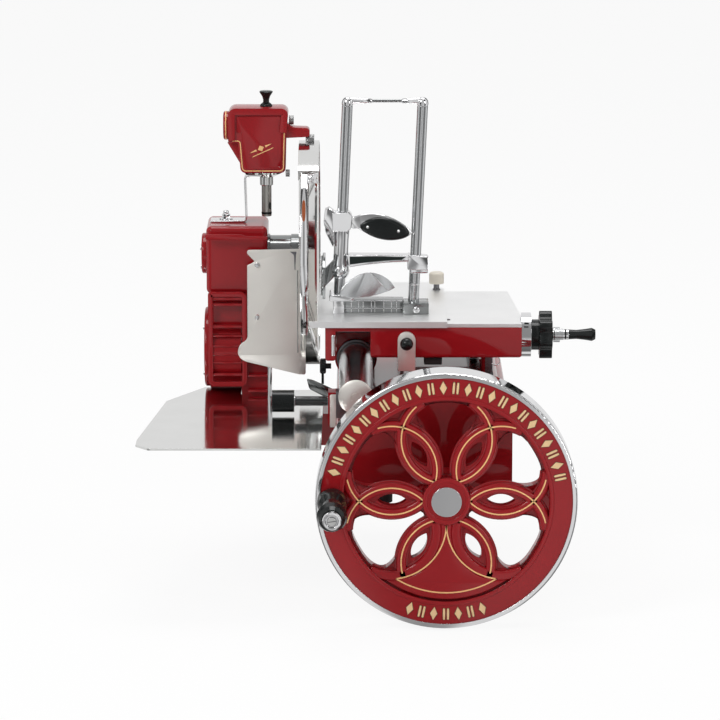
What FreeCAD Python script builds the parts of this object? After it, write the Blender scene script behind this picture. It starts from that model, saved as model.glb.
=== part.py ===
import FreeCAD, Part
import Sketcher
import math
import os
import re

# Hand cranked flywheel meat slicer. Millimetres, +Z up, +X to the operator's right, +Y away from the
# operator. The origin is the centre of the stand bolt pattern in the plane of the feet.

os.makedirs("parts", exist_ok=True)
doc = FreeCAD.newDocument("meat_slicer")
V = FreeCAD.Vector

# ---------------------------------------------------------------------------------------- sizes
SIZES = dict(
    # gaps: running fits, seats and free clearances
    run_gap=0.05, seat_gap=0.3,
    # base casting
    base_half=124.5, base_front=-200, base_back=262, base_low=24, shoulder_top=118,
    house_left=-34, house_in=12.5, house_top=150, base_wall=8, base_round=14, house_round=22,
    foot_high=24, foot_radius=15, foot_x=59, foot_y=178, stand_hole=5.5, lug_high=14,
    pan_low=2, pan_wall=3, pan_front=-50, arm_half=40, arm_low=14, arm_top=62,
    slot_in=40, slot_wide=19, slot_front=-126, slot_back=86,
    lug_left=-136, lug_top=130, bar_block_half=28,
    # flywheel
    wheel_x=29.7, wheel_z=31, wheel_face=-307, wheel_deep=45, rim_radius=181.7, red_radius=175,
    ring_in=144, hub_radius=33, hub_back=-257, cap_radius=21, cap_deep=4, disc_step=4, disc_deep=22,
    hole_half=8.5, hole_in=55, hole_out=96, handle_at=158, grip_radius=21, grip_waist=14,
    grip_long=104, pin_radius=7, screw_cap=13,
    # drive train
    shaft_radius=11, bush_wall=5, boss_out=52, boss_long=58, boss_back=60, boss_wall=8, gear_radius=20.5,
    gear_hub=14, gear_face=6, gear_teeth=16, tooth_high=2.2, cross_radius=8, cross_in=26.5,
    bearing_in=47.5, bearing_wide=12, crank_in=33.5, crank_disc_deep=7, crank_disc_radius=21,
    crank_reach=15, crank_turn=66, crank_pin=5, rod_thick=5, rod_half=10, rocker_in=29,
    rocker_thick=7,
    rocker_y=-20, rocker_z=46, rocker_long=119, rocker_rest=15, rocker_half=9, rod_pin_at=23.3,
    rocker_pin=6, pivot_radius=6, fork_play=4.7, fork_wall=8, fork_low=128, fork_wide=8, fork_gap=1.5,
    # chain case and chains
    case_left=-316, case_split=-265, case_right=-226, case_half=50, case_top=345, block_low=244,
    case_wall=5, case_round=8, drum_z=156, drum_radius=61.5, drum_left=-312, neck_half=47,
    column_low=80, sump_low=10, sump_half=22, sump_floor=3, cover_thick=8, upper_cover=30,
    lower_cover=59, lower_teeth=11, lower_sprocket=13, big_teeth=23, big_sprocket=46,
    small_teeth=8, small_sprocket=16, sprocket_wide=6, lower_plane=-258, upper_plane=-303,
    chain_thick=2.6, chain_gap=0.4, chain_wide=9, mid_radius=8,
    # blade and guard
    blade_y=150, blade_z=297, blade_radius=159.5, blade_edge=-152, blade_back=-165, blade_thick=3,
    spindle_radius=12, spindle_end=-157, collar_left=-176, blade_collar=28, housing_radius=30,
    housing_bore=22, flange_radius=44, flange_thick=4, housing_end=-184, guard_right=-150,
    guard_gap=7.5, guard_thick=3, guard_start=56, guard_end=272, cover_radius=96, arm_wide=16,
    # deflector, tray, clamp and link
    plate_left=-256, plate_right=-186, plate_front=85, plate_thick=2, plate_low=146, plate_high=312,
    plate_pin_x=-241, plate_pin_low=214, plate_pin_high=291, plate_pin=3,
    tray_top=94.2, tray_thick=2.5, tray_left=-404, tray_right=-144, tray_front=-256, tray_back=148,
    lug_deep=12, clamp_y=-40, clamp_z=114.6, clamp_left=-217, clamp_knob=32, clamp_radius=16,
    clamp_rod=7,
    # guide bar, rail and carriage
    bar_x=-96, bar_z=151, bar_radius=24.5, bar_front=-180, bar_back=256, bracket_long=24,
    rail_in=56.5, rail_wide=16, rail_high=10, body_left=-75, body_right=142, body_front=-60,
    body_back=187, body_low=182, body_top=227, body_wall=6, body_round=5, cheek_left=-140,
    cheek_right=-125, cheek_low=178, saddle_wall=3.5, saddle_long=30, saddle_one=90,
    saddle_two=145, bush_thick=3, table_thick=5, roller_radius=11, roller_in=53.5, roller_wide=10,
    roller_y=45, roller_pin=3,
    collar_radius=32, collar_end=156, feed_y=-28, feed_z=210, star_hub=22, star_hub_end=168,
    star_radius=35, star_end=188, feed_arm=40, feed_arm_thick=9, feed_pin=4, feed_grip_start=202,
    feed_grip_end=247, screw_radius=7, screw_start=-66, nut_long=26,
    strap_left=-36, strap_wide=26, strap_low=164, strap_thick=5, ball_radius=10, latch_in=29.5,
    # product plate and meat press
    meat_left=-151, meat_right=35, meat_front=-66, meat_back=237, meat_thick=4, lip_left=-162,
    lip_deep=9, lean=2.5, lean_x=-64, lean_z=236.5, press_y=22, rod_left=-121.3, rod_gap=108,
    rod_radius=7.75, rod_top=536, top_bar=3.5, top_ball=9, rail_high_press=16, rail_half=8,
    hub_low=341, hub_high=386, hub_half=16, tube_low=300, tube_radius=10.5, press_arm_low=303,
    press_arm_high=12, lever_y=-2, lever_thick=6, lever_long=100, lever_half=13, grip_from=24,
    grip_to=94, grip_half=15.5, grip_thick=9, lock_long=76, lock_half=14, lock_thick=12,
    spike_low=262, spike_high=330, spike_thick=4, peg_x=26, peg_y=178, peg_radius=11,
    # sharpener
    head_y=150, head_half=24, head_left=-283, head_right=-197, head_high=58, head_drop=12, chin_high=42,
    chin_left=-262, head_wall=4, head_round=11, arm_rise=14, arm_end=-158, sharp_arm=10,
    needle_x=-228, needle_radius=7.3, needle_low=353, needle_collar=397, stone_radius=17,
    stone_high=9, knob_radius=9.5, side_cover=21, bracket_sheet=3,
    bracket_half=15, bracket_foot=-312,
)
# Places that follow from sizes: the drive, the rail and the latch keep to the right wall of the base,
# the guard and the sharpener keep to the blade, and the tray rests on its lug.
FOLLOWING = dict(
    slot_left="base_half - slot_in", slot_right="base_half - slot_in + slot_wide",
    house_right="base_half - house_in", cross_right="base_half - cross_in",
    bearing_left="base_half - bearing_in", crank_left="base_half - crank_in",
    rocker_left="base_half - rocker_in", rail_left="base_half - rail_in",
    roller_left="base_half - roller_in", latch_x="base_half - latch_in",
    guard_radius="blade_radius + guard_gap", arm_z="blade_z + guard_radius + arm_rise",
    head_step="arm_z - head_drop", head_top="head_step + head_high", head_low="head_step - chin_high",
    tray_rest="blade_y - arm_half + 2 + lug_deep",
)
NAMES = {**SIZES, **{alias: "=" + text for alias, text in FOLLOWING.items()}}
sheet = doc.addObject("Spreadsheet::Sheet", "Sizes")
for row, (alias, content) in enumerate(NAMES.items(), start=1):
    sheet.set(f"A{row}", alias)
    sheet.set(f"B{row}", str(content))
    sheet.setAlias(f"B{row}", alias)
doc.recompute()


def formula(text):
    """Write a formula over size names the way the document's expressions want it."""
    return re.sub(r"[a-z][a-z0-9_]*", lambda w: "Sizes." + w[0] if w[0] in NAMES else w[0], str(text))


s = type("Sheet", (), {alias: float(sheet.get(alias)) for alias in NAMES})
TURNS = {
    "X": FreeCAD.Rotation(V(0, 1, 0), 90),
    "Y": FreeCAD.Rotation(V(1, 0, 0), -90),
    "Z": FreeCAD.Rotation(),
}
nodes = []


def value(text):
    """The value of a formula over size names, worked out by the sheet."""
    sheet.set("D1", f"={text}")
    sheet.recompute()
    return float(sheet.get("D1"))


def place(item, at, axis="Z", leaning=False):
    """Bind an item's position to the sheet; leaning items stand in the press's leaning frame."""
    x, y, z = (formula(text) for text in at)
    turn = TURNS[axis]
    if leaning:
        dx, dz = f"(({x}) - Sizes.lean_x)", f"(({z}) - Sizes.lean_z)"
        cosine, sine = "cos(Sizes.lean * 1deg)", "sin(Sizes.lean * 1deg)"
        x = f"Sizes.lean_x + {dx} * {cosine} + {dz} * {sine}"
        z = f"Sizes.lean_z - {dx} * {sine} + {dz} * {cosine}"
        turn = FreeCAD.Rotation(V(0, 1, 0), s.lean).multiply(turn)
    item.Placement = FreeCAD.Placement(V(0, 0, 0), turn)
    item.setExpression(".Placement.Base.x", x)
    item.setExpression(".Placement.Base.y", y)
    item.setExpression(".Placement.Base.z", z)
    return item


def primitive(kind, **bound):
    """A Part primitive with its sizes bound to the sheet."""
    item = doc.addObject("Part::" + kind, kind)
    for name, text in bound.items():
        item.setExpression(name, formula(text))
    return item


def rod(at, radius, length, axis="Z", leaning=False):
    """A cylinder that starts at the point and runs along the axis."""
    return place(primitive("Cylinder", Radius=radius, Height=length), at, axis, leaning)


def ball(at, radius, leaning=False):
    return place(primitive("Sphere", Radius=radius), at, "Z", leaning)


def block(x, y, z, leaning=False):
    """A box between two X, two Y and two Z values."""
    sides = {name: f"({high}) - ({low})" for name, (low, high) in
             (("Length", x), ("Width", y), ("Height", z))}
    return place(primitive("Box", **sides), (x[0], y[0], z[0]), "Z", leaning)


def fuse(*items):
    joined = doc.addObject("Part::MultiFuse", "Fuse")
    joined.Shapes = list(items)
    joined.Refine = False
    return joined


def cut(base, *tools):
    tool = tools[0] if len(tools) == 1 else fuse(*tools)
    result = doc.addObject("Part::Cut", "Cut")
    result.Base = base
    result.Tool = tool
    result.Refine = False
    return result


def fillet(base, radius, wanted):
    """Round the edges for which wanted(edge) is true."""
    doc.recompute()
    chosen = [number for number, edge in enumerate(base.Shape.Edges, start=1) if wanted(edge)]
    item = doc.addObject("Part::Fillet", "Fillet")
    item.Base = base
    item.Edges = [(number, radius, radius) for number in chosen]
    return item


def along(axis, shortest=0.0):
    """A test for straight edges that run along an axis."""
    direction = {"X": V(1, 0, 0), "Y": V(0, 1, 0), "Z": V(0, 0, 1)}[axis]

    def wanted(edge):
        if edge.Curve.TypeId != "Part::GeomLine" or edge.Length < shortest:
            return False
        return abs(edge.tangentAt(edge.FirstParameter).dot(direction)) > 0.999
    return wanted


def turned(points, at, axis):
    """A solid of revolution: a sketch of (along, radius) corners turned about the axis."""
    body = doc.addObject("PartDesign::Body", "Turned")
    sketch = body.newObject("Sketcher::SketchObject", "Profile")
    origin = {feature.Role: feature for feature in body.Origin.OriginFeatures}
    sketch.AttachmentSupport = [(origin["XZ_Plane"], "")]
    sketch.MapMode = "FlatFace"
    bound_outline(sketch, [(radius, reach) for reach, radius in points])
    spin = body.newObject("PartDesign::Revolution", "Turn")
    spin.Profile = sketch
    spin.ReferenceAxis = (sketch, ["V_Axis"])
    spin.Angle = 360
    body.Tip = spin
    return place(body, at, axis)


def bound_outline(sketch, corners):
    """Draw a closed outline and bind every corner to the sheet."""
    values = [[value(x), value(y)] for x, y in corners]
    count = len(corners)
    for index in range(count):
        start = V(*values[index], 0)
        end = V(*values[(index + 1) % count], 0)
        sketch.addGeometry(Part.LineSegment(start, end), False)
    for index in range(count):
        following = (index + 1) % count
        sketch.addConstraint(Sketcher.Constraint("Coincident", index, 2, following, 1))
        for kind, column in (("DistanceX", 0), ("DistanceY", 1)):
            number = sketch.addConstraint(
                Sketcher.Constraint(kind, -1, 1, index, 1, values[index][column]))
            sketch.setExpression(f"Constraints[{number}]", formula(corners[index][column]))


def padded(plane, corners, length, at, axis="Z"):
    """A bound outline in the body's own XY plane, padded by a length along the axis."""
    body = doc.addObject("PartDesign::Body", "Padded")
    sketch = body.newObject("Sketcher::SketchObject", "Outline")
    origin = {feature.Role: feature for feature in body.Origin.OriginFeatures}
    sketch.AttachmentSupport = [(origin[plane], "")]
    sketch.MapMode = "FlatFace"
    bound_outline(sketch, corners)
    pad = body.newObject("PartDesign::Pad", "Pad")
    pad.Profile = sketch
    pad.setExpression("Length", formula(length))
    body.Tip = pad
    return place(body, at, axis)


def shaped(shape, at=("0", "0", "0"), axis="Z", leaning=False):
    """A feature with its own shape, built from sheet sizes about its own origin."""
    item = doc.addObject("Part::Feature", "Shaped")
    baked = shape.copy()
    baked.Placement = FreeCAD.Placement()
    baked.transformShape(shape.Placement.toMatrix(), True)
    item.Shape = baked
    return place(item, at, axis, leaning)


def node(label, item):
    """Name a finished sub-part."""
    item.Label = label
    nodes.append(item)
    return item


# ------------------------------------------------------------------------------------ the base
CORNERS = [(x, y) for x in ("-foot_x", "foot_x") for y in ("-foot_y", "foot_y")]
BASE_Y = ("base_front", "base_back")
SHAFT_BUSHES = ("base_front - boss_out", "boss_back - boss_long")


def base_casting():
    shoulder = fillet(block(("-base_half", "base_half"), BASE_Y, ("base_low", "shoulder_top")),
                      s.base_round, lambda e: along("Y", 300)(e) and e.BoundBox.ZMin > 60)
    house = fillet(block(("house_left", "house_right"), BASE_Y, ("base_low", "house_top")),
                   s.house_round, lambda e: along("Y", 300)(e) and e.BoundBox.ZMin > 120)
    arm = block(("case_right", "-base_half + 1"), ("blade_y - arm_half", "blade_y + arm_half"),
                ("arm_low", "arm_top"))
    tray_lug = block(("case_right + 12", "case_right + 52"),
                     ("blade_y - arm_half + 2", "tray_rest"),
                     ("arm_top - 2", "tray_top - tray_thick - seat_gap / 2"))
    clamp_lug = block(("lug_left", "-base_half + 4"), ("clamp_y - 14", "clamp_y + 14"),
                      ("clamp_z - 34", "lug_top"))
    wall = "base_wall"
    inner_y = (f"base_front + {wall}", f"base_back - {wall}")
    hollow = fuse(
        block((f"-base_half + {wall}", f"base_half - {wall}"), inner_y,
              ("base_low - 1", f"shoulder_top - {wall}")),
        block((f"house_left + {wall}", f"house_right - {wall}"), inner_y,
              ("base_low", f"house_top - {wall}")),
        block(("case_right - 1", "-base_half - 6"), ("blade_y - arm_half + 6", "blade_y + arm_half - 6"),
              ("arm_low - 1", "arm_top - 6")))
    shell = cut(fuse(shoulder, house, arm, tray_lug, clamp_lug), hollow)
    bosses = [rod(("wheel_x", start, "wheel_z"), "shaft_radius + bush_wall + boss_wall", "boss_long", "Y")
              for start in SHAFT_BUSHES]
    boss_web = block(("wheel_x - 5", "wheel_x + 5"), ("base_front + 2", "boss_back"),
                     ("wheel_z + shaft_radius + bush_wall + 2", "house_top - 4"))
    wall_boss = rod(("-base_half - 6", "blade_y", "wheel_z"), "cross_radius + bush_wall + 6", "30", "X")
    lugs = [rod((x, y, "base_low"), "foot_radius + 2", "lug_high") for x, y in CORNERS]
    ribs = [block((x + " - 3", x + " + 3"), side, ("base_low + 8", "shoulder_top - 4"))
            for x in ("-foot_x", "foot_x")
            for side in (("base_front + 4", "-foot_y"), ("foot_y", "base_back - 4"))]
    solid = fuse(shell, *bosses, boss_web, wall_boss, *lugs, *ribs)
    holes = [rod((x, y, "0"), "stand_hole", "lug_high + base_low + 30") for x, y in CORNERS]
    shaft_bore = rod(("wheel_x", "base_front - boss_out - 1", "wheel_z"),
                     "shaft_radius + bush_wall", "boss_out + boss_back - base_front + 2", "Y")
    cross_bore = rod(("-base_half - 7", "blade_y", "wheel_z"), "cross_radius + bush_wall", "32", "X")
    slot = block(("slot_left", "slot_right"), ("slot_front", "slot_back"),
                 ("house_top - 20", "house_top + 1"))
    pivot_hole = rod(("base_half - base_wall - 1", "rocker_y", "rocker_z"), "pivot_radius",
                     "base_wall + 2", "X")
    clamp_hole = rod(("lug_left - 1", "clamp_y", "clamp_z"), "clamp_rod - 2 + run_gap", "9", "X")
    return cut(solid, shaft_bore, cross_bore, slot, pivot_hole, clamp_hole, *holes)


node("base_casting", base_casting())

pan = cut(block(("-base_half + base_wall + seat_gap", "base_half - base_wall - seat_gap"),
                ("pan_front", "base_back - base_wall - seat_gap"), ("pan_low", "base_low + 6")),
          block(("-base_half + base_wall + pan_wall", "base_half - base_wall - pan_wall"),
                ("pan_front + pan_wall", "base_back - base_wall - pan_wall"),
                ("pan_low + pan_wall", "base_low + 7")),
          *[rod((x, "foot_y", "pan_low - 1"), "foot_radius + 3", "base_low + 10")
            for x in ("-foot_x", "foot_x")],
          block(("-base_half", "-base_half + 40"), ("blade_y - 24", "blade_y + 24"),
                ("pan_low + 8", "base_low + 7")),
          rod(("wheel_x", "pan_front - 1", "wheel_z"), "shaft_radius + bush_wall + boss_wall + seat_gap",
              "boss_back - pan_front + 2", "Y"))
pedestal = cut(
    block(("bearing_left", "bearing_left + bearing_wide"), ("blade_y - 24", "blade_y + 24"),
          ("pan_low + pan_wall - 1", "wheel_z + 24")),
    rod(("bearing_left - 1", "blade_y", "wheel_z"), "cross_radius + bush_wall", "bearing_wide + 2", "X"))
node("bottom_pan", fuse(pan, pedestal))

feet = [cut(rod((x, y, "0"), "foot_radius", "foot_high"),
            rod((x, y, "-1"), "stand_hole", "foot_high + 2")) for x, y in CORNERS]
node("rubber_feet", fuse(*feet))


def bush(at, bore, wall, length, axis):
    """A plain bearing bush."""
    along_axis = {"X": 0, "Y": 1, "Z": 2}[axis]
    start = list(at)
    start[along_axis] = f"({at[along_axis]}) - 1"
    return cut(rod(at, f"{bore} + {wall}", length, axis),
               rod(start, f"{bore} + run_gap", f"({length}) + 2", axis))


# ------------------------------------------------------------------------------- the flywheel
# Half-widths of the flame-shaped openings against their distance from the hub's axis.
FLAME = ((37, 0), (41.5, 8), (55, 11.5), (69, 14.5), (83, 21.5), (97, 32), (111, 39.5),
         (125, 40), (134.5, 29), (139, 0))


def lens(start, end, half_wide):
    """An eye-shaped face along X between two radii."""
    middle = (start + end) / 2
    upper = Part.Arc(V(start, 0, 0), V(middle, half_wide, 0), V(end, 0, 0)).toShape()
    lower = Part.Arc(V(end, 0, 0), V(middle, -half_wide, 0), V(start, 0, 0)).toShape()
    return Part.Face(Part.Wire([upper, lower]))


def flame_opening():
    side = [V(reach, half, 0) for reach, half in FLAME]
    other = [V(reach, -half, 0) for reach, half in reversed(FLAME[1:-1])]
    curve = Part.BSplineCurve()
    curve.interpolate(side + other, PeriodicFlag=True)
    return Part.Face(Part.Wire([curve.toShape()]))


def ring(outer, inner, deep, low=0.0):
    shape = Part.makeCylinder(outer, deep, V(0, 0, low))
    return shape.cut(Part.makeCylinder(inner, deep + 2, V(0, 0, low - 1)))


def spun(shape, degrees):
    """A copy turned about the Z axis."""
    copy = shape.copy()
    copy.rotate(V(0, 0, 0), V(0, 0, 1), degrees)
    return copy


def flywheel():
    """Seen along +Z, which is turned to the machine's +Y: local X is right and local Y is down."""
    rim = ring(s.red_radius, s.ring_in, s.wheel_deep)
    disc = Part.makeCylinder(s.ring_in, s.disc_deep, V(0, 0, s.disc_step))
    opening = flame_opening().extrude(V(0, 0, 60))
    eye = lens(s.hole_in, s.hole_out, s.hole_half).extrude(V(0, 0, 60))
    holes = [spun(opening, turn) for turn in (-150, -90, -30, 30, 150)]
    holes += [spun(eye, turn) for turn in range(0, 360, 60)]
    web = disc.cut(Part.makeCompound(holes))
    hub = Part.makeCylinder(s.hub_radius, s.hub_back - s.wheel_face, V(0, 0, 0))
    whole = rim.fuse([web, hub]).removeSplitter()
    whole = whole.cut(Part.makeCylinder(s.shaft_radius, 80, V(0, 0, -1)))
    return whole.cut(Part.makeCylinder(s.pin_radius, 80, V(-s.handle_at, 0, -1)))


WHEEL = ("wheel_x", "wheel_face", "wheel_z")
node("flywheel", shaped(flywheel(), WHEEL, "Y"))
node("flywheel_rim", fillet(cut(
    rod(("wheel_x", "wheel_face - 2", "wheel_z"), "rim_radius", "wheel_deep + 2", "Y"),
    rod(("wheel_x", "wheel_face - 3", "wheel_z"), "red_radius", "wheel_deep + 4", "Y")),
    2.5, lambda e: abs(e.BoundBox.XLength - 2 * s.rim_radius) < 1))
node("hub_cap", rod(("wheel_x", "wheel_face - cap_deep", "wheel_z"), "cap_radius", "cap_deep", "Y"))
HANDLE_X = "wheel_x - handle_at"
node("handle_pin", fuse(
    rod((HANDLE_X, "wheel_face - grip_long - 3", "wheel_z"), "pin_radius", "grip_long + 30", "Y"),
    rod((HANDLE_X, "wheel_face - grip_long - 7", "wheel_z"), "screw_cap", "4", "Y")))
node("handle_grip", cut(
    turned([("-2", "pin_radius + 0.05"), ("-2", "grip_radius - 1"), ("-10", "grip_radius"),
            ("-22", "grip_radius - 2"), ("-38", "grip_waist"), ("-56", "grip_waist - 1"),
            ("-72", "grip_radius - 3"), ("-88", "grip_radius"), ("-98", "grip_radius - 3"),
            ("-grip_long", "grip_radius - 7"), ("-grip_long", "pin_radius + 0.05")],
           (HANDLE_X, "wheel_face", "wheel_z"), "Y"),
    rod((HANDLE_X, "wheel_face - grip_long - 1", "wheel_z"), "pin_radius + run_gap", "4", "Y")))


# -------------------------------------------------------------------------------- drive train
def polygon_prism(corners, deep):
    """A prism along +Z from (x, y) corners."""
    wire = Part.makePolygon([V(x, y, 0) for x, y in corners + corners[:1]])
    return Part.Face(wire).extrude(V(0, 0, deep))


def polar(radius, degrees):
    return (radius * math.cos(math.radians(degrees)), radius * math.sin(math.radians(degrees)))


def sprocket(teeth, tip, bore, deep):
    """A flat toothed wheel with its first tooth along local X."""
    step = 360 / teeth
    corners = []
    for tooth in range(teeth):
        for radius, share in ((tip - 3, -0.5), (tip - 3, -0.3), (tip, -0.12), (tip, 0.12), (tip - 3, 0.3)):
            corners.append(polar(radius, (tooth + share) * step))
    return polygon_prism(corners, deep).cut(Part.makeCylinder(bore, deep + 2, V(0, 0, -1)))


def bevel_gear(radius, face, teeth, tooth, bore, hub, turn):
    """A 45 degree bevel gear: large end at z = 0, teeth towards +Z, hub behind it."""
    small = radius - face
    core = Part.makeCone(radius - tooth, small - tooth * 0.6, face)
    core = core.fuse(Part.makeCylinder(hub + 4, hub, V(0, 0, -hub)))
    shrink = small / radius
    wedges = []
    for index in range(teeth):
        angle = turn + index * 360 / teeth
        ends = []
        for scale, z in ((1.0, 0.0), (shrink, face)):
            half = 360 / teeth * 0.17
            ring_points = [polar((radius - tooth * 1.2) * scale, angle - half * 1.4),
                           polar((radius + tooth * 0.55) * scale, angle - half * 0.8),
                           polar((radius + tooth * 0.55) * scale, angle + half * 0.8),
                           polar((radius - tooth * 1.2) * scale, angle + half * 1.4)]
            points = [V(x, y, z) for x, y in ring_points]
            ends.append(Part.makePolygon(points + points[:1]))
        wedges.append(Part.makeLoft(ends, True, True))
    gear = core.fuse(wedges)
    return gear.cut(Part.makeCylinder(bore, 200, V(0, 0, -100)))


node("flywheel_shaft", fuse(
    shaped(bevel_gear(s.gear_radius, s.gear_face, int(s.gear_teeth), s.tooth_high, s.shaft_radius - 2,
                      s.gear_hub, 0), ("wheel_x", "blade_y - gear_radius", "wheel_z"), "Y"),
    rod(("wheel_x", "wheel_face", "wheel_z"), "shaft_radius",
        "blade_y - cross_radius - 4 - wheel_face", "Y")))
node("cross_shaft", rod(("lower_plane - 1", "blade_y", "wheel_z"), "cross_radius",
                        "cross_right - lower_plane + 1", "X"))
node("cross_bevel_gear", shaped(
    bevel_gear(s.gear_radius, s.gear_face, int(s.gear_teeth), s.tooth_high, s.cross_radius, s.gear_hub,
               180 / s.gear_teeth), ("wheel_x - gear_radius", "blade_y", "wheel_z"), "X"))
CRANK_Y = "crank_reach * cos(crank_turn * 1deg)"
CRANK_Z = "crank_reach * sin(crank_turn * 1deg)"
node("crank_disc", fuse(
    cut(rod(("crank_left", "blade_y", "wheel_z"), "crank_disc_radius", "crank_disc_deep", "X"),
        rod(("crank_left - 1", "blade_y", "wheel_z"), "cross_radius", "crank_disc_deep + 2", "X")),
    rod(("crank_left", f"blade_y + {CRANK_Y}", f"wheel_z + {CRANK_Z}"), "crank_pin",
        "rocker_left + rocker_thick - crank_left", "X")))
SWING = "rocker_rest * 1deg"
TOP_Y, TOP_Z = f"(rocker_y + rocker_long * sin({SWING}))", f"(rocker_z + rocker_long * cos({SWING}))"
MID_Y, MID_Z = f"(rocker_y + rod_pin_at * sin({SWING}))", f"(rocker_z + rod_pin_at * cos({SWING}))"


def lever_bar(start, end, half_wide, deep, holes):
    """A bar with round ends between two (y, z) points, extruded along X from x = 0."""
    (y0, z0), (y1, z1) = start, end
    long = math.hypot(y1 - y0, z1 - z0)
    bar = Part.makeBox(long, 2 * half_wide * 0.8, deep, V(0, -half_wide * 0.8, 0))
    bar = bar.fuse([Part.makeCylinder(half_wide, deep), Part.makeCylinder(half_wide, deep, V(long, 0, 0))])
    for reach, radius in holes:
        bar = bar.cut(Part.makeCylinder(radius, deep + 2, V(reach, 0, -1)))
    bar.transformShape(FreeCAD.Matrix(0, 0, 1, 0, 1, 0, 0, 0, 0, 1, 0, 0, 0, 0, 0, 1))
    bar.rotate(V(0, 0, 0), V(1, 0, 0), math.degrees(math.atan2(z1 - z0, y1 - y0)))
    return bar


pivot, top, middle = ((value(y), value(z)) for y, z in
                      (("rocker_y", "rocker_z"), (TOP_Y, TOP_Z), (MID_Y, MID_Z)))
crank_point = (value(f"blade_y + {CRANK_Y}"), value(f"wheel_z + {CRANK_Z}"))
rocker_plate = shaped(lever_bar(pivot, top, s.rocker_half, s.rocker_thick,
                                [(0, s.pivot_radius + s.run_gap)]),
                      ("rocker_left", "rocker_y", "rocker_z"), "Z")
node("rocker_lever", fuse(
    rocker_plate,
    rod(("rocker_left - fork_gap - fork_wide", TOP_Y, TOP_Z), "rocker_pin",
        "rocker_thick + fork_gap + fork_wide", "X"),
    rod(("rocker_left + 2", MID_Y, MID_Z), "rocker_pin", "rocker_thick + rod_thick", "X")))
node("rocker_pivot_pin", fuse(
    rod(("rocker_left - 1", "rocker_y", "rocker_z"), "pivot_radius", "base_half - rocker_left + 1", "X"),
    rod(("rocker_left - 4", "rocker_y", "rocker_z"), "pivot_radius + 3", "3", "X")))
node("connecting_rod", shaped(
    lever_bar(middle, crank_point, s.rod_half, s.rod_thick,
              [(0, s.rocker_pin + s.run_gap),
               (math.dist(middle, crank_point), s.crank_pin + s.run_gap)]),
    ("rocker_left + rocker_thick + 1", MID_Y, MID_Z), "Z"))

# ------------------------------------------------------------------------ chain case and chains
def case_form(inset, sump_floor):
    """The chain case's outside, or its hollow when inset by the wall."""

    def span(low, high, extra=0):
        return (f"{low} + {inset} + {extra}", f"{high} - {inset} - {extra}")
    upper = block(span("case_left", "case_right"), span("blade_y - case_half", "blade_y + case_half"),
                  span("block_low", "case_top"))
    neck = block(span("drum_left", "case_split"), span("blade_y - neck_half", "blade_y + neck_half"),
                 ("drum_z + 20", f"block_low + {inset} + 2"))
    column = block(span("case_split", "case_right"), span("blade_y - case_half", "blade_y + case_half"),
                   (f"column_low + {inset}", f"block_low + {inset} + 2"))
    sump = block((f"case_split + {inset}", f"case_right - {inset}"),
                 (f"blade_y - sump_half + {inset}", f"blade_y + sump_half - {inset}"),
                 (sump_floor, f"column_low + {inset} + 2"))
    drum = rod((f"drum_left + {inset}", "blade_y", "drum_z"), f"drum_radius - {inset}",
               "case_split - drum_left", "X")
    return upper, neck, column, sump, drum


def chain_case():
    upper, neck, column, sump, drum = case_form("0", "sump_low")
    upper = fillet(upper, s.case_round, lambda e: e.Length > 60)
    hollow = fuse(*case_form("case_wall", "sump_low + sump_floor"))
    shell = cut(fuse(upper, neck, column, sump, drum), hollow)
    bosses = [rod((x, "blade_y", "drum_z"), "mid_radius + bush_wall + 5", deep, "X")
              for x, deep in (("drum_left", "9"), ("case_right - 12", "12"))]
    pins = [rod(("plate_pin_x", "plate_front - 1", z), "plate_pin", "blade_y - case_half - plate_front + 3",
                "Y") for z in ("plate_pin_low", "plate_pin_high")]
    bores = [rod((x, "blade_y", "drum_z"), "mid_radius + bush_wall", deep, "X")
             for x, deep in (("drum_left + 1", "12"), ("case_right - 13", "12"))]
    spindle_hole = rod(("case_right - 10", "blade_y", "blade_z"), "housing_bore", "12", "X")
    cross_hole = rod(("case_right - 10", "blade_y", "wheel_z"), "cross_radius + 2", "12", "X")
    head_bolt = rod(("bracket_foot + 24", "blade_y", "case_top - 12"), "4", "14")
    return cut(fuse(shell, *bosses, *pins), *bores, spindle_hole, cross_hole, head_bolt)


node("chain_case", chain_case())
case_covers = [
    fillet(rod((f"{left} - cover_thick", "blade_y", height), radius, "cover_thick", "X"), 3,
           lambda e, edge_x=value(left) - 5: e.BoundBox.XMax < edge_x)
    for left, height, radius in (("case_left", "blade_z", "upper_cover"),
                                 ("drum_left", "drum_z", "lower_cover"))]
node("case_covers", fuse(*case_covers))
cover_screws = [rod((f"{left} - cover_thick - 2", f"blade_y + {reach} * cos({turn}deg)",
                     f"{height} + {reach} * sin({turn}deg)"), "3", "2", "X")
                for left, height, reach, turns in (
                    ("case_left", "blade_z", "upper_cover * 0.68", (30, 150, 270)),
                    ("drum_left", "drum_z", "lower_cover * 0.82", (45, 135, 225, 315)))
                for turn in turns]
node("cover_screws", fuse(*cover_screws))
node("chain_shaft", rod(("drum_left + 2", "blade_y", "drum_z"), "mid_radius",
                        "case_right - drum_left - 4", "X"))


def sprocket_on(plane, height, teeth, tip, bore):
    return shaped(sprocket(int(teeth), tip, bore, s.sprocket_wide), (plane, "blade_y", height), "X")


node("drive_sprocket", sprocket_on("lower_plane", "wheel_z", s.lower_teeth, s.lower_sprocket,
                                   s.cross_radius))
node("chain_shaft_sprockets", fuse(
    sprocket_on("lower_plane", "drum_z", s.lower_teeth, s.lower_sprocket, s.mid_radius),
    sprocket_on("upper_plane", "drum_z", s.big_teeth, s.big_sprocket, s.mid_radius)))


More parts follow.
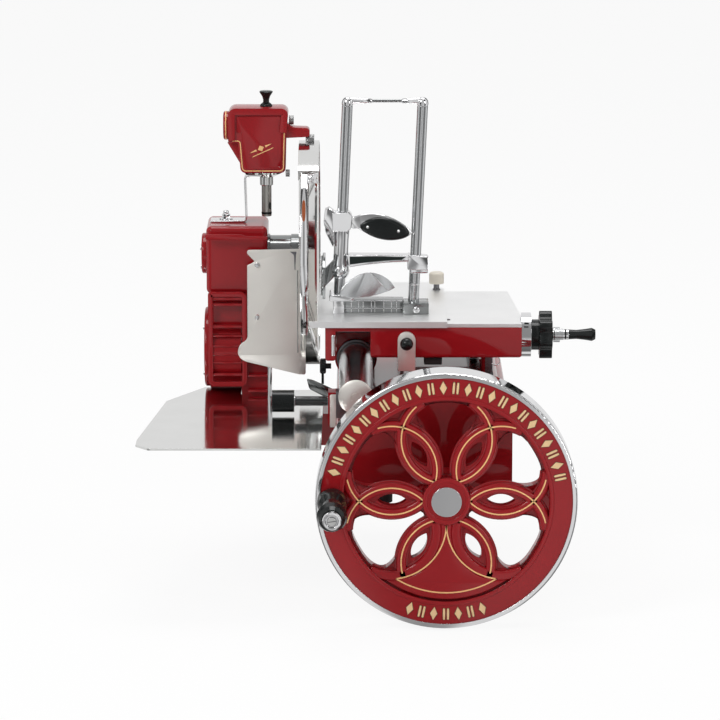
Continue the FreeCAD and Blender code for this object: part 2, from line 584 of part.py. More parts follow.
def chain(low_radius, high_radius, distance):
    """A closed chain round two wheels, the second one a distance up local Y, as a plain band."""

    def loop(extra):
        low, high = low_radius + extra, high_radius + extra
        tilt = math.asin((low - high) / distance)
        sine, cosine = math.sin(tilt), math.cos(tilt)
        right_low, left_low = V(low * cosine, low * sine, 0), V(-low * cosine, low * sine, 0)
        right_high = V(high * cosine, distance + high * sine, 0)
        left_high = V(-high * cosine, distance + high * sine, 0)
        edges = [Part.LineSegment(right_low, right_high).toShape(),
                 Part.Arc(right_high, V(0, distance + high, 0), left_high).toShape(),
                 Part.LineSegment(left_high, left_low).toShape(),
                 Part.Arc(left_low, V(0, -low, 0), right_low).toShape()]
        return Part.Face(Part.Wire(edges))
    band = loop(s.chain_gap + s.chain_thick).cut(loop(s.chain_gap))
    band = band.extrude(V(0, 0, s.chain_wide))
    band.rotate(V(0, 0, 0), V(0, 0, 1), 90)
    return band


CHAIN_SHIFT = "(chain_wide - sprocket_wide) / 2"
node("drive_chains", fuse(
    shaped(chain(s.lower_sprocket, s.lower_sprocket, s.drum_z - s.wheel_z),
           (f"lower_plane - {CHAIN_SHIFT}", "blade_y", "wheel_z"), "X"),
    shaped(chain(s.big_sprocket, s.small_sprocket, s.blade_z - s.drum_z),
           (f"upper_plane - {CHAIN_SHIFT}", "blade_y", "drum_z"), "X")))

# -------------------------------------------------------------------- blade, guard and spindle
node("spindle_housing", cut(
    fuse(rod(("case_right", "blade_y", "blade_z"), "housing_radius", "housing_end - case_right", "X"),
         rod(("housing_end", "blade_y", "blade_z"), "flange_radius", "flange_thick", "X")),
    rod(("case_right - 1", "blade_y", "blade_z"), "housing_bore", "housing_end - case_right + 10", "X")))
node("blade_spindle", fuse(
    sprocket_on("upper_plane", "blade_z", s.small_teeth, s.small_sprocket, s.spindle_radius - 2),
    rod(("upper_plane - 3", "blade_y", "blade_z"), "spindle_radius - 1",
        "sprocket_wide + 6", "X"),
    rod(("upper_plane + sprocket_wide + 3", "blade_y", "blade_z"), "spindle_radius",
        "spindle_end - upper_plane - sprocket_wide - 3", "X"),
    rod(("collar_left", "blade_y", "blade_z"), "blade_collar", "blade_back - collar_left", "X")))
node("blade", turned(
    [("blade_back", "spindle_radius"), ("blade_back", "blade_radius - 44"),
     ("blade_edge - 3.4", "blade_radius - 7"), ("blade_edge", "blade_radius"),
     ("blade_edge - 0.6", "blade_radius - 8"), ("blade_back + blade_thick", "blade_radius - 45"),
     ("blade_back + blade_thick", "spindle_radius")], ("0", "blade_y", "blade_z"), "X"))
node("blade_cover", fuse(
    cut(rod(("blade_back + blade_thick", "blade_y", "blade_z"), "cover_radius", "2.4", "X"),
        rod(("blade_back", "blade_y", "blade_z"), "spindle_radius", "9", "X")),
    *[rod(("blade_back + blade_thick + 2.4", f"blade_y + 70 * cos({turn}deg)",
           f"blade_z + 70 * sin({turn}deg)"), "6", "2", "X") for turn in (90, 210, 330)]))


def blade_guard():
    """An L-shaped band round the rim on radial arms; angles run from the front up over the top."""
    left, right = s.housing_end + s.flange_thick, s.guard_right
    inner, outer, skin = s.guard_radius - 19, s.guard_radius, s.guard_thick
    corners = [(left, inner), (left, outer), (right, outer), (right, outer - skin),
               (left + skin, outer - skin), (left + skin, inner)]
    points = [V(x, -reach, 0) for x, reach in corners]
    profile = Part.Face(Part.makePolygon(points + points[:1]))
    profile.rotate(V(0, 0, 0), V(-1, 0, 0), s.guard_start)
    band = profile.revolve(V(0, 0, 0), V(-1, 0, 0), s.guard_end - s.guard_start)
    hub = Part.makeCylinder(s.flange_radius, skin, V(left, 0, 0), V(1, 0, 0))
    hub = hub.cut(Part.makeCylinder(s.blade_collar + 3, skin + 2, V(left - 1, 0, 0), V(1, 0, 0)))
    arms = []
    for turn in (80, 175, 262):
        arm = Part.makeBox(skin, inner - 30, s.arm_wide, V(left, -inner - 4, -s.arm_wide / 2))
        arm.rotate(V(0, 0, 0), V(-1, 0, 0), turn)
        arms.append(arm)
    whole = band.fuse([hub] + arms)
    return whole.cut(Part.makeCylinder(s.blade_collar + 3, skin + 2, V(left - 1, 0, 0), V(1, 0, 0)))


node("blade_guard", shaped(blade_guard(), ("0", "blade_y", "blade_z"), "Z"))
node("bearing_bushes", fuse(
    *[bush(("wheel_x", start, "wheel_z"), "shaft_radius", "bush_wall", "boss_long", "Y")
      for start in SHAFT_BUSHES],
    bush(("-base_half - 6", "blade_y", "wheel_z"), "cross_radius", "bush_wall", "30", "X"),
    bush(("bearing_left", "blade_y", "wheel_z"), "cross_radius", "bush_wall", "bearing_wide", "X"),
    bush(("drum_left + 1", "blade_y", "drum_z"), "mid_radius", "bush_wall", "8", "X"),
    bush(("case_right - 12", "blade_y", "drum_z"), "mid_radius", "bush_wall", "11", "X"),
    bush(("case_right + 1", "blade_y", "blade_z"), "spindle_radius", "housing_bore - spindle_radius",
         "14", "X"),
    bush(("housing_end - 12", "blade_y", "blade_z"), "spindle_radius",
         "housing_bore - spindle_radius", "14", "X")))

# --------------------------------------------------------------- deflector, tray, clamp and link
deflector = padded("XZ_Plane", [
    ("plate_left", "plate_high"), ("plate_right", "plate_high"), ("plate_right + 14", "plate_high - 6"),
    ("plate_right + 14", "plate_low - 20"), ("plate_right + 4", "plate_low - 22"),
    ("plate_left + 2", "plate_low"), ("plate_left - 8", "plate_low + 6"),
    ("plate_left - 9", "plate_low + 16"), ("plate_left", "plate_low + 26"),
    ("plate_left", "plate_high - 20"), ("plate_left + 9", "plate_high - 16"),
    ("plate_left", "plate_high - 8")], "plate_thick", ("0", "plate_front + plate_thick", "0"))
node("slice_deflector", cut(deflector, *[
    rod(("plate_pin_x", "plate_front - 2", z), "plate_pin + run_gap", "plate_thick + 4", "Y")
    for z in ("plate_pin_low", "plate_pin_high")]))
tray = padded("XY_Plane", [
    ("tray_left + 18", "tray_front"), ("tray_right", "tray_front"), ("tray_right", "tray_rest + 4"),
    ("case_right + 1", "tray_rest + 4"), ("case_right + 1", "blade_y - case_half - 1"),
    ("case_split - 1", "blade_y - case_half - 1"), ("case_split - 1", "tray_back"),
    ("case_left - 5", "tray_back"), ("tray_left + 30", "tray_back - 96"), ("tray_left", "tray_front + 54"),
    ("tray_left", "tray_front + 22")], "tray_thick", ("0", "0", "tray_top - tray_thick"))
node("receiving_tray", fillet(tray, 6, lambda e: along("Z")(e) and e.BoundBox.XMax < s.tray_left + 40))
node("clamp_knob", fuse(
    rod(("clamp_left", "clamp_y", "clamp_z"), "clamp_radius", "clamp_knob", "X"),
    rod(("clamp_left + clamp_knob", "clamp_y", "clamp_z"), "clamp_rod",
        "lug_left - clamp_left - clamp_knob - 0.5", "X"),
    rod(("lug_left - 1", "clamp_y", "clamp_z"), "clamp_rod - 2", "8", "X")))

# ------------------------------------------------------------------- guide bar, rail, carriage
node("guide_bar", rod(("bar_x", "bar_front", "bar_z"), "bar_radius", "bar_back - bar_front", "Y"))
bar_blocks = [cut(block(("bar_x - bar_block_half", "bar_x + bar_block_half"), (y, f"{y} + bracket_long"),
                        ("shoulder_top", "bar_z + 4")),
                  rod(("bar_x", f"{y} - 1", "bar_z"), "bar_radius", "bracket_long + 2", "Y"))
              for y in ("bar_front + 12", "bar_back - bracket_long")]
node("bar_brackets", fuse(*bar_blocks))
node("carriage_rail", block(("rail_left", "rail_left + rail_wide"), ("base_front + 12", "base_back - 12"),
                            ("house_top", "house_top + rail_high")))
BODY_Y = ("body_front", "body_back")
SADDLE = "(bar_radius + bush_thick + saddle_wall)"


def carriage_casting():
    box = fillet(block(("body_left", "body_right"), BODY_Y, ("body_low", "body_top")), s.body_round,
                 lambda e: e.BoundBox.ZMin < s.body_low + 1 and not along("Z")(e))
    cheek = fillet(block(("cheek_left", "cheek_right"), BODY_Y, ("cheek_low", "body_top")), 4,
                   lambda e: e.BoundBox.ZMax < s.cheek_low + 1 and along("Y")(e))
    deck = block(("cheek_left", "body_left + 8"), BODY_Y, ("body_top - body_wall", "body_top"))
    inner = block(("body_left + body_wall", "body_right - body_wall"),
                  ("body_front + body_wall", "body_back - body_wall"),
                  ("body_low - 1", "body_top - body_wall"))
    saddles = []
    bores = []
    for start in ("saddle_one", "saddle_two"):
        saddles.append(rod(("bar_x", start, "bar_z"), SADDLE, "saddle_long", "Y"))
        saddles.append(block((f"bar_x - {SADDLE} + 2", f"bar_x + {SADDLE} - 2"),
                             (start, f"{start} + saddle_long"), ("bar_z + 8", "body_top - 2")))
        bores.append(rod(("bar_x", f"{start} - 1", "bar_z"), "bar_radius + bush_thick",
                         "saddle_long + 2", "Y"))
    fork_left = "rocker_left - fork_gap - fork_wide"
    prong = "(rocker_pin + fork_play)"
    prongs = [block((fork_left, f"{fork_left} + fork_wide"), pair, ("fork_low", "body_top - 2"))
              for pair in ((f"{TOP_Y} - {prong} - fork_wall", f"{TOP_Y} - {prong}"),
                           (f"{TOP_Y} + {prong}", f"{TOP_Y} + {prong} + fork_wall"))]
    roller_lug = block(("roller_left + roller_wide + 1", "roller_left + roller_wide + 7"),
                       ("roller_y - 8", "roller_y + 8"), ("body_low - 17", "body_top - 2"))
    roller_pin = rod(("roller_left - 1", "roller_y", "house_top + rail_high + roller_radius + seat_gap"),
                     "roller_pin", "roller_wide + 6", "X")
    latch_pin = rod(("latch_x", "body_front + body_wall - 1", "body_top - 26"), "3", "14", "Y")
    slot = block(("screw_start + 10", "screw_start + 106"), ("feed_y - 6", "feed_y + 6"),
                 ("body_top - body_wall - 1", "body_top + 1"))
    screw_hole = rod(("body_right - body_wall - 1", "feed_y", "feed_z"), "screw_radius + run_gap",
                     "body_wall + 2", "X")
    end_boss = cut(rod(("body_left + 2", "feed_y", "feed_z"), "13", "body_wall + 8", "X"),
                   rod(("body_left + 3", "feed_y", "feed_z"), "screw_radius + run_gap", "20", "X"))
    shell = cut(fuse(cut(box, inner), cheek, deck, *saddles), *bores)
    fittings = fuse(*prongs, roller_lug, roller_pin, latch_pin, end_boss)
    return cut(fuse(shell, fittings), slot, screw_hole)


node("carriage_casting", carriage_casting())
node("carriage_bushes", fuse(*[
    bush(("bar_x", start, "bar_z"), "bar_radius", "bush_thick", "saddle_long", "Y")
    for start in ("saddle_one", "saddle_two")]))
TABLE_TOP = "(body_top + table_thick)"
table = padded("XY_Plane", [
    ("cheek_left", "body_front"), ("body_right - seat_gap", "body_front"), ("body_right - seat_gap", "20"),
    ("body_right - 12", "body_back"), ("cheek_left", "body_back")], "table_thick", ("0", "0", "body_top"))
node("table_plate", cut(table, block(("screw_start + 10", "screw_start + 106"), ("feed_y - 6", "feed_y + 6"),
                                     ("body_top - 1", f"{TABLE_TOP} + 1"))))
node("carriage_roller", cut(
    rod(("roller_left", "roller_y", "house_top + rail_high + roller_radius + seat_gap"), "roller_radius",
        "roller_wide", "X"),
    rod(("roller_left - 1", "roller_y", "house_top + rail_high + roller_radius + seat_gap"),
        "roller_pin + run_gap", "roller_wide + 2", "X")))
FEED = ("feed_y", "feed_z")
node("feed_collar", cut(rod(("body_right", *FEED), "collar_radius", "collar_end - body_right", "X"),
                        rod(("body_right - 1", *FEED), "screw_radius + run_gap", "30", "X")))


def star_wheel():
    """An eight-lobed hand wheel along +Z."""
    wheel = Part.makeCylinder(s.star_radius, s.star_end - s.star_hub_end)
    for lobe in range(8):
        x, y = polar(s.star_radius + 5, 22.5 + lobe * 45)
        wheel = wheel.cut(Part.makeCylinder(8.5, 40, V(x, y, -1)))
    return wheel


star = fuse(shaped(star_wheel(), ("star_hub_end", *FEED), "X"),
            rod(("collar_end + seat_gap", *FEED), "star_hub", "star_hub_end - collar_end - seat_gap", "X"))
node("thickness_knob", cut(star, rod(("collar_end - 1", *FEED), "screw_radius + run_gap", "50", "X")))
node("feed_screw", rod(("screw_start", *FEED), "screw_radius", "star_end + 10 - screw_start", "X"))
ARM_Y, ARM_Z = "feed_y - feed_arm * 0.978", "feed_z + feed_arm * 0.208"
crank_web = shaped(lever_bar((0, 0), (-s.feed_arm * 0.978, s.feed_arm * 0.208), 8, s.feed_arm_thick, []),
                   ("star_end + 1", *FEED), "Z")
node("feed_crank", cut(fuse(
    crank_web, rod(("star_end + 1", *FEED), "11", "feed_arm_thick", "X"),
    rod(("star_end + 1", ARM_Y, ARM_Z), "feed_pin", "feed_grip_end - star_end - 4", "X"),
    rod(("star_end + 1", ARM_Y, ARM_Z), "8", "feed_grip_start - star_end - 2", "X")),
    rod(("star_end", *FEED), "screw_radius", "12", "X")))
node("feed_crank_grip", cut(
    turned([("feed_grip_start + 1", "feed_pin + 0.05"), ("feed_grip_start + 1", "7.5"),
            ("feed_grip_start + 18", "6.5"), ("feed_grip_end - 14", "8"), ("feed_grip_end - 5", "9.5"),
            ("feed_grip_end", "7"), ("feed_grip_end", "1"), ("feed_grip_end - 2", "1"),
            ("feed_grip_end - 2", "feed_pin + 0.05")], ("0", ARM_Y, ARM_Z), "X"),
    rod(("feed_grip_end - 3", ARM_Y, ARM_Z), "1", "1", "X")))
strap_mid = "strap_left + strap_wide / 2"
node("front_strap", fuse(
    block(("strap_left", "strap_left + strap_wide"), ("body_front - strap_thick", "body_front"),
          ("strap_low", "body_top - 18")),
    rod((strap_mid, "body_front - strap_thick", "body_top - 18"), "strap_wide / 2", "strap_thick", "Y"),
    rod((strap_mid, "body_front - strap_thick - 4", "body_top - 18"), "4", "4", "Y"),
    ball((strap_mid, "body_front - strap_thick - 8", "body_top - 18"), "ball_radius - 3")))
node("latch_lever", cut(fuse(
    block(("latch_x - 5", "latch_x + 5"), ("body_front + body_wall + 2", "body_front + body_wall + 8"),
          ("strap_low - 6", "body_top - 26")),
    rod(("latch_x", "body_front + body_wall + 2", "body_top - 26"), "8", "6", "Y")),
    rod(("latch_x", "body_front", "body_top - 26"), "3 + run_gap", "30", "Y")))

# --------------------------------------------------------------- product plate and meat press
PLATE_LOW, PLATE_TOP = f"({TABLE_TOP} + seat_gap)", f"({TABLE_TOP} + seat_gap + meat_thick)"
meat = padded("XY_Plane", [
    ("meat_left", "meat_front"), ("meat_right", "meat_front"), ("meat_right", "body_back"),
    ("meat_right - 21", "meat_back"), ("meat_left", "meat_back")], "meat_thick", ("0", "0", PLATE_LOW))
lip = block(("lip_left", "meat_right"), ("meat_front", "meat_front + 4"),
            (f"{PLATE_TOP} - lip_deep", PLATE_TOP))
nut_x = "screw_start + 18"
nut = cut(block((f"{nut_x} - nut_long / 2 + 5", f"{nut_x} + nut_long / 2 + 5"),
                ("feed_y - 10", "feed_y + 10"), ("feed_z - 10", "feed_z + 10")),
          rod((f"{nut_x} - 30", *FEED), "screw_radius + run_gap", "60", "X"))
nut_neck = block((f"{nut_x} - 5", f"{nut_x} + 7"), ("feed_y - 5", "feed_y + 5"),
                 ("feed_z + 9", f"{PLATE_LOW} + 1"))
node("product_plate", fuse(meat, lip, nut, nut_neck))
node("plate_peg", fuse(rod(("peg_x - 2", "peg_y", PLATE_TOP), "3.5", "10"),
                       fillet(rod(("peg_x - 2", "peg_y", f"{PLATE_TOP} + 10"), "peg_radius", "17"), 4,
                              lambda e: e.BoundBox.ZMin > 255)))
RODS = ("rod_left", "rod_left + rod_gap")
frame_items = [rod((x, "press_y", f"{PLATE_TOP} + 8"), "rod_radius", f"rod_top - {PLATE_TOP} - 8", "Z", True)
               for x in RODS]
frame_items += [ball((x, "press_y", "rod_top + 4"), "top_ball", True) for x in RODS]
frame_items.append(rod(("rod_left", "press_y", "rod_top + 6"), "top_bar", "rod_gap", "X", True))
rail_bar = block(("rod_left - 13", "rod_left + rod_gap + 22"),
                 ("press_y - rail_half - 2", "press_y + rail_half + 2"),
                 (PLATE_TOP, f"{PLATE_TOP} + rail_high_press"))
shelf = block(("rod_left - 13", "rod_left + 22"), ("press_y - 36", "press_y - 6"),
              (f"{PLATE_TOP} + rail_high_press - 6", f"{PLATE_TOP} + rail_high_press + 4"))
LOCK_Z = f"{PLATE_TOP} + rail_high_press + 14"
lock_lug = block(("rod_left", "rod_left + 12"), ("press_y - 20", "press_y - 14"),
                 (f"{PLATE_TOP} + rail_high_press + 3", f"{LOCK_Z} + 5"))
lock_pin = rod(("rod_left + 6", "press_y - 34", LOCK_Z), "3", "16", "Y")
node("press_frame", fuse(rail_bar, shelf, lock_lug, lock_pin, *frame_items))
slide_solid = fuse(
    block(("rod_left - 22", "rod_left + hub_half"), ("press_y - hub_half", "press_y + hub_half"),
          ("hub_low", "hub_high"), True),
    rod(("rod_left", "press_y", "tube_low"), "tube_radius", "hub_low - tube_low + 2", "Z", True),
    block(("rod_left", "rod_left + rod_gap"), ("press_y - 11", "press_y + 11"),
          ("press_arm_low", "press_arm_low + press_arm_high"), True),
    block(("rod_left + rod_gap - 12", "rod_left + rod_gap + 18"), ("press_y - 12", "press_y + 12"),
          ("press_arm_low - 6", "press_arm_low + press_arm_high + 4"), True),
    block(("rod_left - 28", "rod_left - 28 + spike_thick"), ("press_y - 44", "press_y + 50"),
          ("spike_low", "spike_high"), True),
    block(("rod_left - 26", "rod_left - 8"), ("press_y - 9", "press_y + 9"),
          ("tube_low", "hub_low + 3"), True),
    rod(("rod_left - 2", "lever_y - 3", "hub_high - 22"), "4", "press_y - hub_half - lever_y + 5",
        "Y", True))
node("press_slide", cut(slide_solid, *[
    rod((x, "press_y", "spike_low - 30"), "rod_radius + run_gap", "200", "Z", True) for x in RODS]))
LEVER = ("rod_left - 2", "lever_y", "hub_high - 22")


def lever_shape():
    """A flat lever along +X with an eye at the origin, in the XY plane, extruded along +Z."""
    eye = Part.makeCylinder(11, s.lever_thick)
    bar = lens(0, s.lever_long, s.lever_half).extrude(V(0, 0, s.lever_thick))
    whole = eye.fuse(bar)
    return whole.cut(Part.makeCylinder(4 + s.run_gap, s.lever_thick + 2, V(0, 0, -1)))


node("press_lever", shaped(spun(lever_shape(), 4), LEVER, "Y", True))
grip_plate = lens(s.grip_from, s.grip_to, s.grip_half).extrude(V(0, 0, s.grip_thick))
node("press_grip", shaped(spun(grip_plate, 4), ("rod_left - 2", "lever_y - grip_thick", "hub_high - 22"),
                          "Y", True))


def lock_shape():
    """The shell-shaped lock lever with its eye at the origin, extruded along +Z."""
    eye = Part.makeCylinder(8, s.lock_thick)
    shell = lens(0, s.lock_long, s.lock_half).extrude(V(0, 0, s.lock_thick))
    hole = Part.makeCylinder(3 + s.run_gap, s.lock_thick + 2, V(0, 0, -1))
    return spun(eye.fuse(shell).cut(hole), -6)


node("press_lock_lever", shaped(lock_shape(), ("rod_left + 6", "press_y - 33", LOCK_Z), "Y"))

# ---------------------------------------------------------------------------------- sharpener
HEAD_Y = ("head_y - head_half", "head_y + head_half")


def sharpener_housing():
    top = fillet(block(("head_left", "head_right"), HEAD_Y, ("head_step", "head_top")), s.head_round,
                 lambda e: along("Y")(e) and e.BoundBox.ZMin > s.head_top - 1)
    chin = fillet(block(("chin_left", "head_right"), HEAD_Y, ("head_low", "head_step + head_wall")), 8,
                  lambda e: along("Y")(e) and e.BoundBox.ZMax < s.head_low + 1)
    arm = block(("head_right - 4", "arm_end - 6"), ("head_y - 9", "head_y + 9"),
                ("arm_z - sharp_arm / 2", "arm_z + sharp_arm / 2"))
    inner = fuse(block(("head_left + head_wall", "head_right - head_wall"),
                       ("head_y - head_half + head_wall", "head_y + head_half + 1"),
                       ("head_step + head_wall", "head_top - head_wall")),
                 block(("chin_left + head_wall", "head_right - head_wall"),
                       ("head_y - head_half + head_wall", "head_y + head_half + 1"),
                       ("head_low + head_wall", "head_step + head_wall + 1")))
    holes = [rod(("needle_x", "head_y", "head_low - 2"), "needle_radius + run_gap", "140")]
    return cut(fuse(cut(fuse(top, chin), inner), arm), *holes)


node("sharpener_housing", sharpener_housing())
node("sharpener_covers", fuse(
    block(("head_left + head_wall + seat_gap", "head_right - head_wall - seat_gap"),
          ("head_y + head_half - 3", "head_y + head_half"), ("head_step + head_wall + seat_gap",
                                                              "head_top - head_wall - seat_gap")),
    rod(("head_left - 8", "head_y", "head_step + side_cover + 1"), "side_cover", "8", "X")))
node("sharpener_flange", cut(
    fuse(rod(("needle_x", "head_y", "head_low - 7"), "29", "7"),
         rod(("needle_x", "head_y", "needle_collar"), "9", "head_low - needle_collar - 6")),
    rod(("needle_x", "head_y", "needle_collar - 1"), "needle_radius + run_gap", "40")))
node("sharpener_spindle", rod(("needle_x", "head_y", "needle_low"), "needle_radius",
                              "head_top + 3 - needle_low"))
node("sharpener_push_knob", turned(
    [("3", "0"), ("3", "knob_radius - 0.5"), ("5", "knob_radius - 0.5"), ("8", "4.5"), ("12", "4.5"),
     ("15", "knob_radius"), ("17", "knob_radius - 0.5"), ("18", "0")],
    ("needle_x", "head_y", "head_top"), "Z"))
node("sharpening_stones", fuse(*[
    cut(rod(("needle_x", "head_y", low), "stone_radius", "stone_high"),
        rod(("needle_x", "head_y", f"{low} - 1"), "needle_radius", "stone_high + 2"))
    for low in ("head_low + 14", "head_low + 34")]))
node("sharpener_knobs", fuse(
    rod(("head_right", "head_y", "head_top - 24"), "7.5", "6", "X"),
    rod(("head_right", "head_y", "head_low + 8"), "7", "6", "X"),
    rod(("arm_end - 6", "head_y", "arm_z"), "9", "8", "X")))
foot_z = "case_top + bracket_sheet"
node("sharpener_bracket", fuse(
    block(("bracket_foot", "chin_left + 6"), ("head_y - bracket_half", "head_y + bracket_half"),
          ("case_top", foot_z)),
    block(("chin_left + 3", "chin_left + 6"), ("head_y - bracket_half", "head_y + bracket_half"),
          ("case_top", "head_low - 7 - seat_gap")),
    block(("chin_left + 3", "chin_left + 16"), ("head_y - bracket_half", "head_y + bracket_half"),
          ("head_low - 10 - seat_gap", "head_low - 7 - seat_gap")),
    rod(("bracket_foot + 24", "head_y", foot_z), "9.5", "3"),
    rod(("bracket_foot + 24", "head_y", f"{foot_z} + 3"), "6", "11")))


# --------------------------------------------------------------------------------- the output
doc.recompute()
faults = [item.Label for item in doc.Objects if {"Invalid", "Error"} & set(item.State)]
faults += [item.Label for item in nodes if item.Shape.isNull() or not item.Shape.isValid()]
if faults:
    raise RuntimeError("these objects failed: " + ", ".join(faults))
for item in nodes:
    item.Shape.exportStep(f"parts/{item.Label}.step")
print(len(nodes), "sub-parts written")
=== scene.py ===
import math

import bmesh
import bpy
from mathutils import Matrix, Vector


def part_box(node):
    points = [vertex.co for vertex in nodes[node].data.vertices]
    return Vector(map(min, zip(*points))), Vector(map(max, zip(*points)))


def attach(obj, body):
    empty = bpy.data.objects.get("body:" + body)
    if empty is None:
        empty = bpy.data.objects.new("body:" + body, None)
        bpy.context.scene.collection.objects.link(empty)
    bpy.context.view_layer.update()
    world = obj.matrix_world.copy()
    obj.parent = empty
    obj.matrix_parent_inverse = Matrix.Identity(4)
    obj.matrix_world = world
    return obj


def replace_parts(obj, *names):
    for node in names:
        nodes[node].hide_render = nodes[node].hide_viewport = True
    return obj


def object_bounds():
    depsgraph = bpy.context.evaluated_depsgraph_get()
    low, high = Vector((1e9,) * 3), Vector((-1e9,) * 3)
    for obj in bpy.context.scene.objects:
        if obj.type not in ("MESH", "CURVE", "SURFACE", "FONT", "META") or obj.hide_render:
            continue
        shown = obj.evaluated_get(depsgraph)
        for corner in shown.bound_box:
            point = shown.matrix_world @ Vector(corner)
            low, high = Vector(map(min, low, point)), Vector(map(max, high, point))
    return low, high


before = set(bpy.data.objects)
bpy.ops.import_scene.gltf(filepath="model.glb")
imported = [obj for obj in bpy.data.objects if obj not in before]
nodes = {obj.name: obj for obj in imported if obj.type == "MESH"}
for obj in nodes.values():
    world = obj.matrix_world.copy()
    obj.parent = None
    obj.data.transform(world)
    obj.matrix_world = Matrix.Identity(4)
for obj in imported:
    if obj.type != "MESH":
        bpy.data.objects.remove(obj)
cad_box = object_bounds()

# ---------- the room
# A white studio: a pale floor, a camera with a long lens a little above the machine, three soft
# boxes, and dim curtains in the surroundings that give polished metal something dark to show.
scene = bpy.context.scene
scene.view_settings.view_transform = "Standard"


def placed(name, data):
    """Put a new object into the scene."""
    made = bpy.data.objects.new(name, data)
    scene.collection.objects.link(made)
    return made


lens_mm, sensor_mm, look_down = 200, 36, 11.9
lens = bpy.data.cameras.new("camera")
lens.lens = lens_mm
lens.sensor_width = sensor_mm
camera = placed("camera", lens)
camera.location = (-0.09, -5.6819, 1.364)
camera.rotation_euler = (math.radians(90 - look_down), 0, 0)
scene.camera = camera


def feed(tree, given, socket):
    """Link a socket from another one, or set its value."""
    if isinstance(given, bpy.types.NodeSocket):
        tree.links.new(given, socket)
    else:
        socket.default_value = given


def linked(tree, kind, **inputs):
    """Add a shader node and feed its inputs."""
    node = tree.nodes.new(kind)
    for name, given in inputs.items():
        feed(tree, given, node.inputs[name.replace("_", " ")])
    return node


def mixed(tree, first, second, share):
    """One shader mixed with another; the share is the second's."""
    node = linked(tree, "ShaderNodeMixShader", Fac=share)
    for socket, given in zip(node.inputs[1:], (first, second)):
        tree.links.new(given.outputs[0], socket)
    return node


def arithmetic(tree, operation, first, second, clamped=False):
    node = tree.nodes.new("ShaderNodeMath")
    node.operation = operation
    node.use_clamp = clamped
    feed(tree, first, node.inputs[0])
    feed(tree, second, node.inputs[1])
    return node.outputs[0]


def curtain_light(tree, place):
    """The brightness of the studio round the machine, by the direction that a point lies in."""
    parts = linked(tree, "ShaderNodeSeparateXYZ", Vector=place).outputs
    azimuth = arithmetic(tree, "ARCTAN2", parts["X"], parts["Y"])
    share = arithmetic(tree, "ADD", arithmetic(tree, "DIVIDE", azimuth, 2 * math.pi), 0.5)
    ramp = linked(tree, "ShaderNodeValToRGB", Fac=share)
    ramp.color_ramp.interpolation = "EASE"
    stretches = ((0.0, 0.3), (0.012, 0.34), (0.03, 0.9), (0.055, 0.86), (0.085, 0.1), (0.17, 0.07),
        (0.2, 0.95), (0.3, 0.9), (0.335, 0.14), (0.39, 0.12), (0.43, 0.95), (0.56, 0.95), (0.6, 0.16),
        (0.66, 0.1), (0.7, 0.92), (0.79, 0.98), (0.82, 0.08), (0.915, 0.1), (0.945, 0.86), (0.97, 0.9),
        (0.988, 0.34), (1.0, 0.3))
    while len(ramp.color_ramp.elements) < len(stretches):
        ramp.color_ramp.elements.new(0.5)
    for stop, (position, bright) in zip(ramp.color_ramp.elements, stretches):
        stop.position = position
        stop.color = (bright, bright, bright, 1)
    return ramp.outputs["Color"]


surroundings = bpy.data.worlds.new("surroundings")
scene.world = surroundings
surroundings.use_nodes = True
tree = surroundings.node_tree
tree.nodes.clear()
direction = tree.nodes.new("ShaderNodeTexCoord").outputs["Generated"]
path = tree.nodes.new("ShaderNodeLightPath")
dim = linked(tree, "ShaderNodeBackground", Color=curtain_light(tree, direction), Strength=0.85)
white = linked(tree, "ShaderNodeBackground", Color=(1, 1, 1, 1), Strength=1.0)
shown = mixed(tree, dim, white, path.outputs["Is Camera Ray"])
output = tree.nodes.new("ShaderNodeOutputWorld")
tree.links.new(shown.outputs[0], output.inputs["Surface"])


def soft_box(name, place, aim, size, watts):
    lamp = bpy.data.lights.new(name, "AREA")
    lamp.shape = "RECTANGLE"
    lamp.size, lamp.size_y = size
    lamp.energy = watts
    box = placed(name, lamp)
    box.location = place
    box.rotation_euler = (Vector(aim) - Vector(place)).to_track_quat("-Z", "Y").to_euler()


soft_box("key_box", (-2.2, -2.6, 2.6), (0, 0, 0.2), (1.3, 1.3), 52)
soft_box("fill_box", (2.6, -2.4, 1.4), (0, 0, 0.1), (0.7, 1.8), 20)
soft_box("top_box", (0.0, 0.3, 3.2), (0, 0, 0.2), (1.8, 1.4), 36)

floor_level = cad_box[0][2] - 0.004
bm = bmesh.new()
bmesh.ops.create_grid(bm, x_segments=2, y_segments=2, size=12)
bmesh.ops.translate(bm, verts=bm.verts, vec=(0, 2, floor_level))
floor_mesh = bpy.data.meshes.new("floor")
bm.to_mesh(floor_mesh)
floor = placed("floor", floor_mesh)
pale = bpy.data.materials.new("pale_floor")
pale.use_nodes = True
tree = pale.node_tree
tree.nodes.clear()
path = tree.nodes.new("ShaderNodeLightPath")
matt = linked(tree, "ShaderNodeBsdfDiffuse", Color=(0.93, 0.93, 0.93, 1), Roughness=0.6)
glow = linked(tree, "ShaderNodeEmission", Color=(1, 1, 1, 1), Strength=1.0)
lit = mixed(tree, matt, glow, arithmetic(tree, "MULTIPLY", path.outputs["Is Camera Ray"], 0.9))
ground = tree.nodes.new("ShaderNodeTexCoord").outputs["Object"]
sheen = linked(tree, "ShaderNodeEmission", Color=curtain_light(tree, ground), Strength=0.85)
mirrored = mixed(tree, lit, sheen, arithmetic(tree, "MULTIPLY", path.outputs["Is Glossy Ray"], 0.85))
output = tree.nodes.new("ShaderNodeOutputMaterial")
tree.links.new(mirrored.outputs[0], output.inputs["Surface"])
floor_mesh.materials.append(pale)

# ---------- red castings
# The machine's castings are filled, rubbed down and stoved with several coats of deep red enamel
# under a clear one. The enamel rounds every edge a little and keeps a faint orange peel.


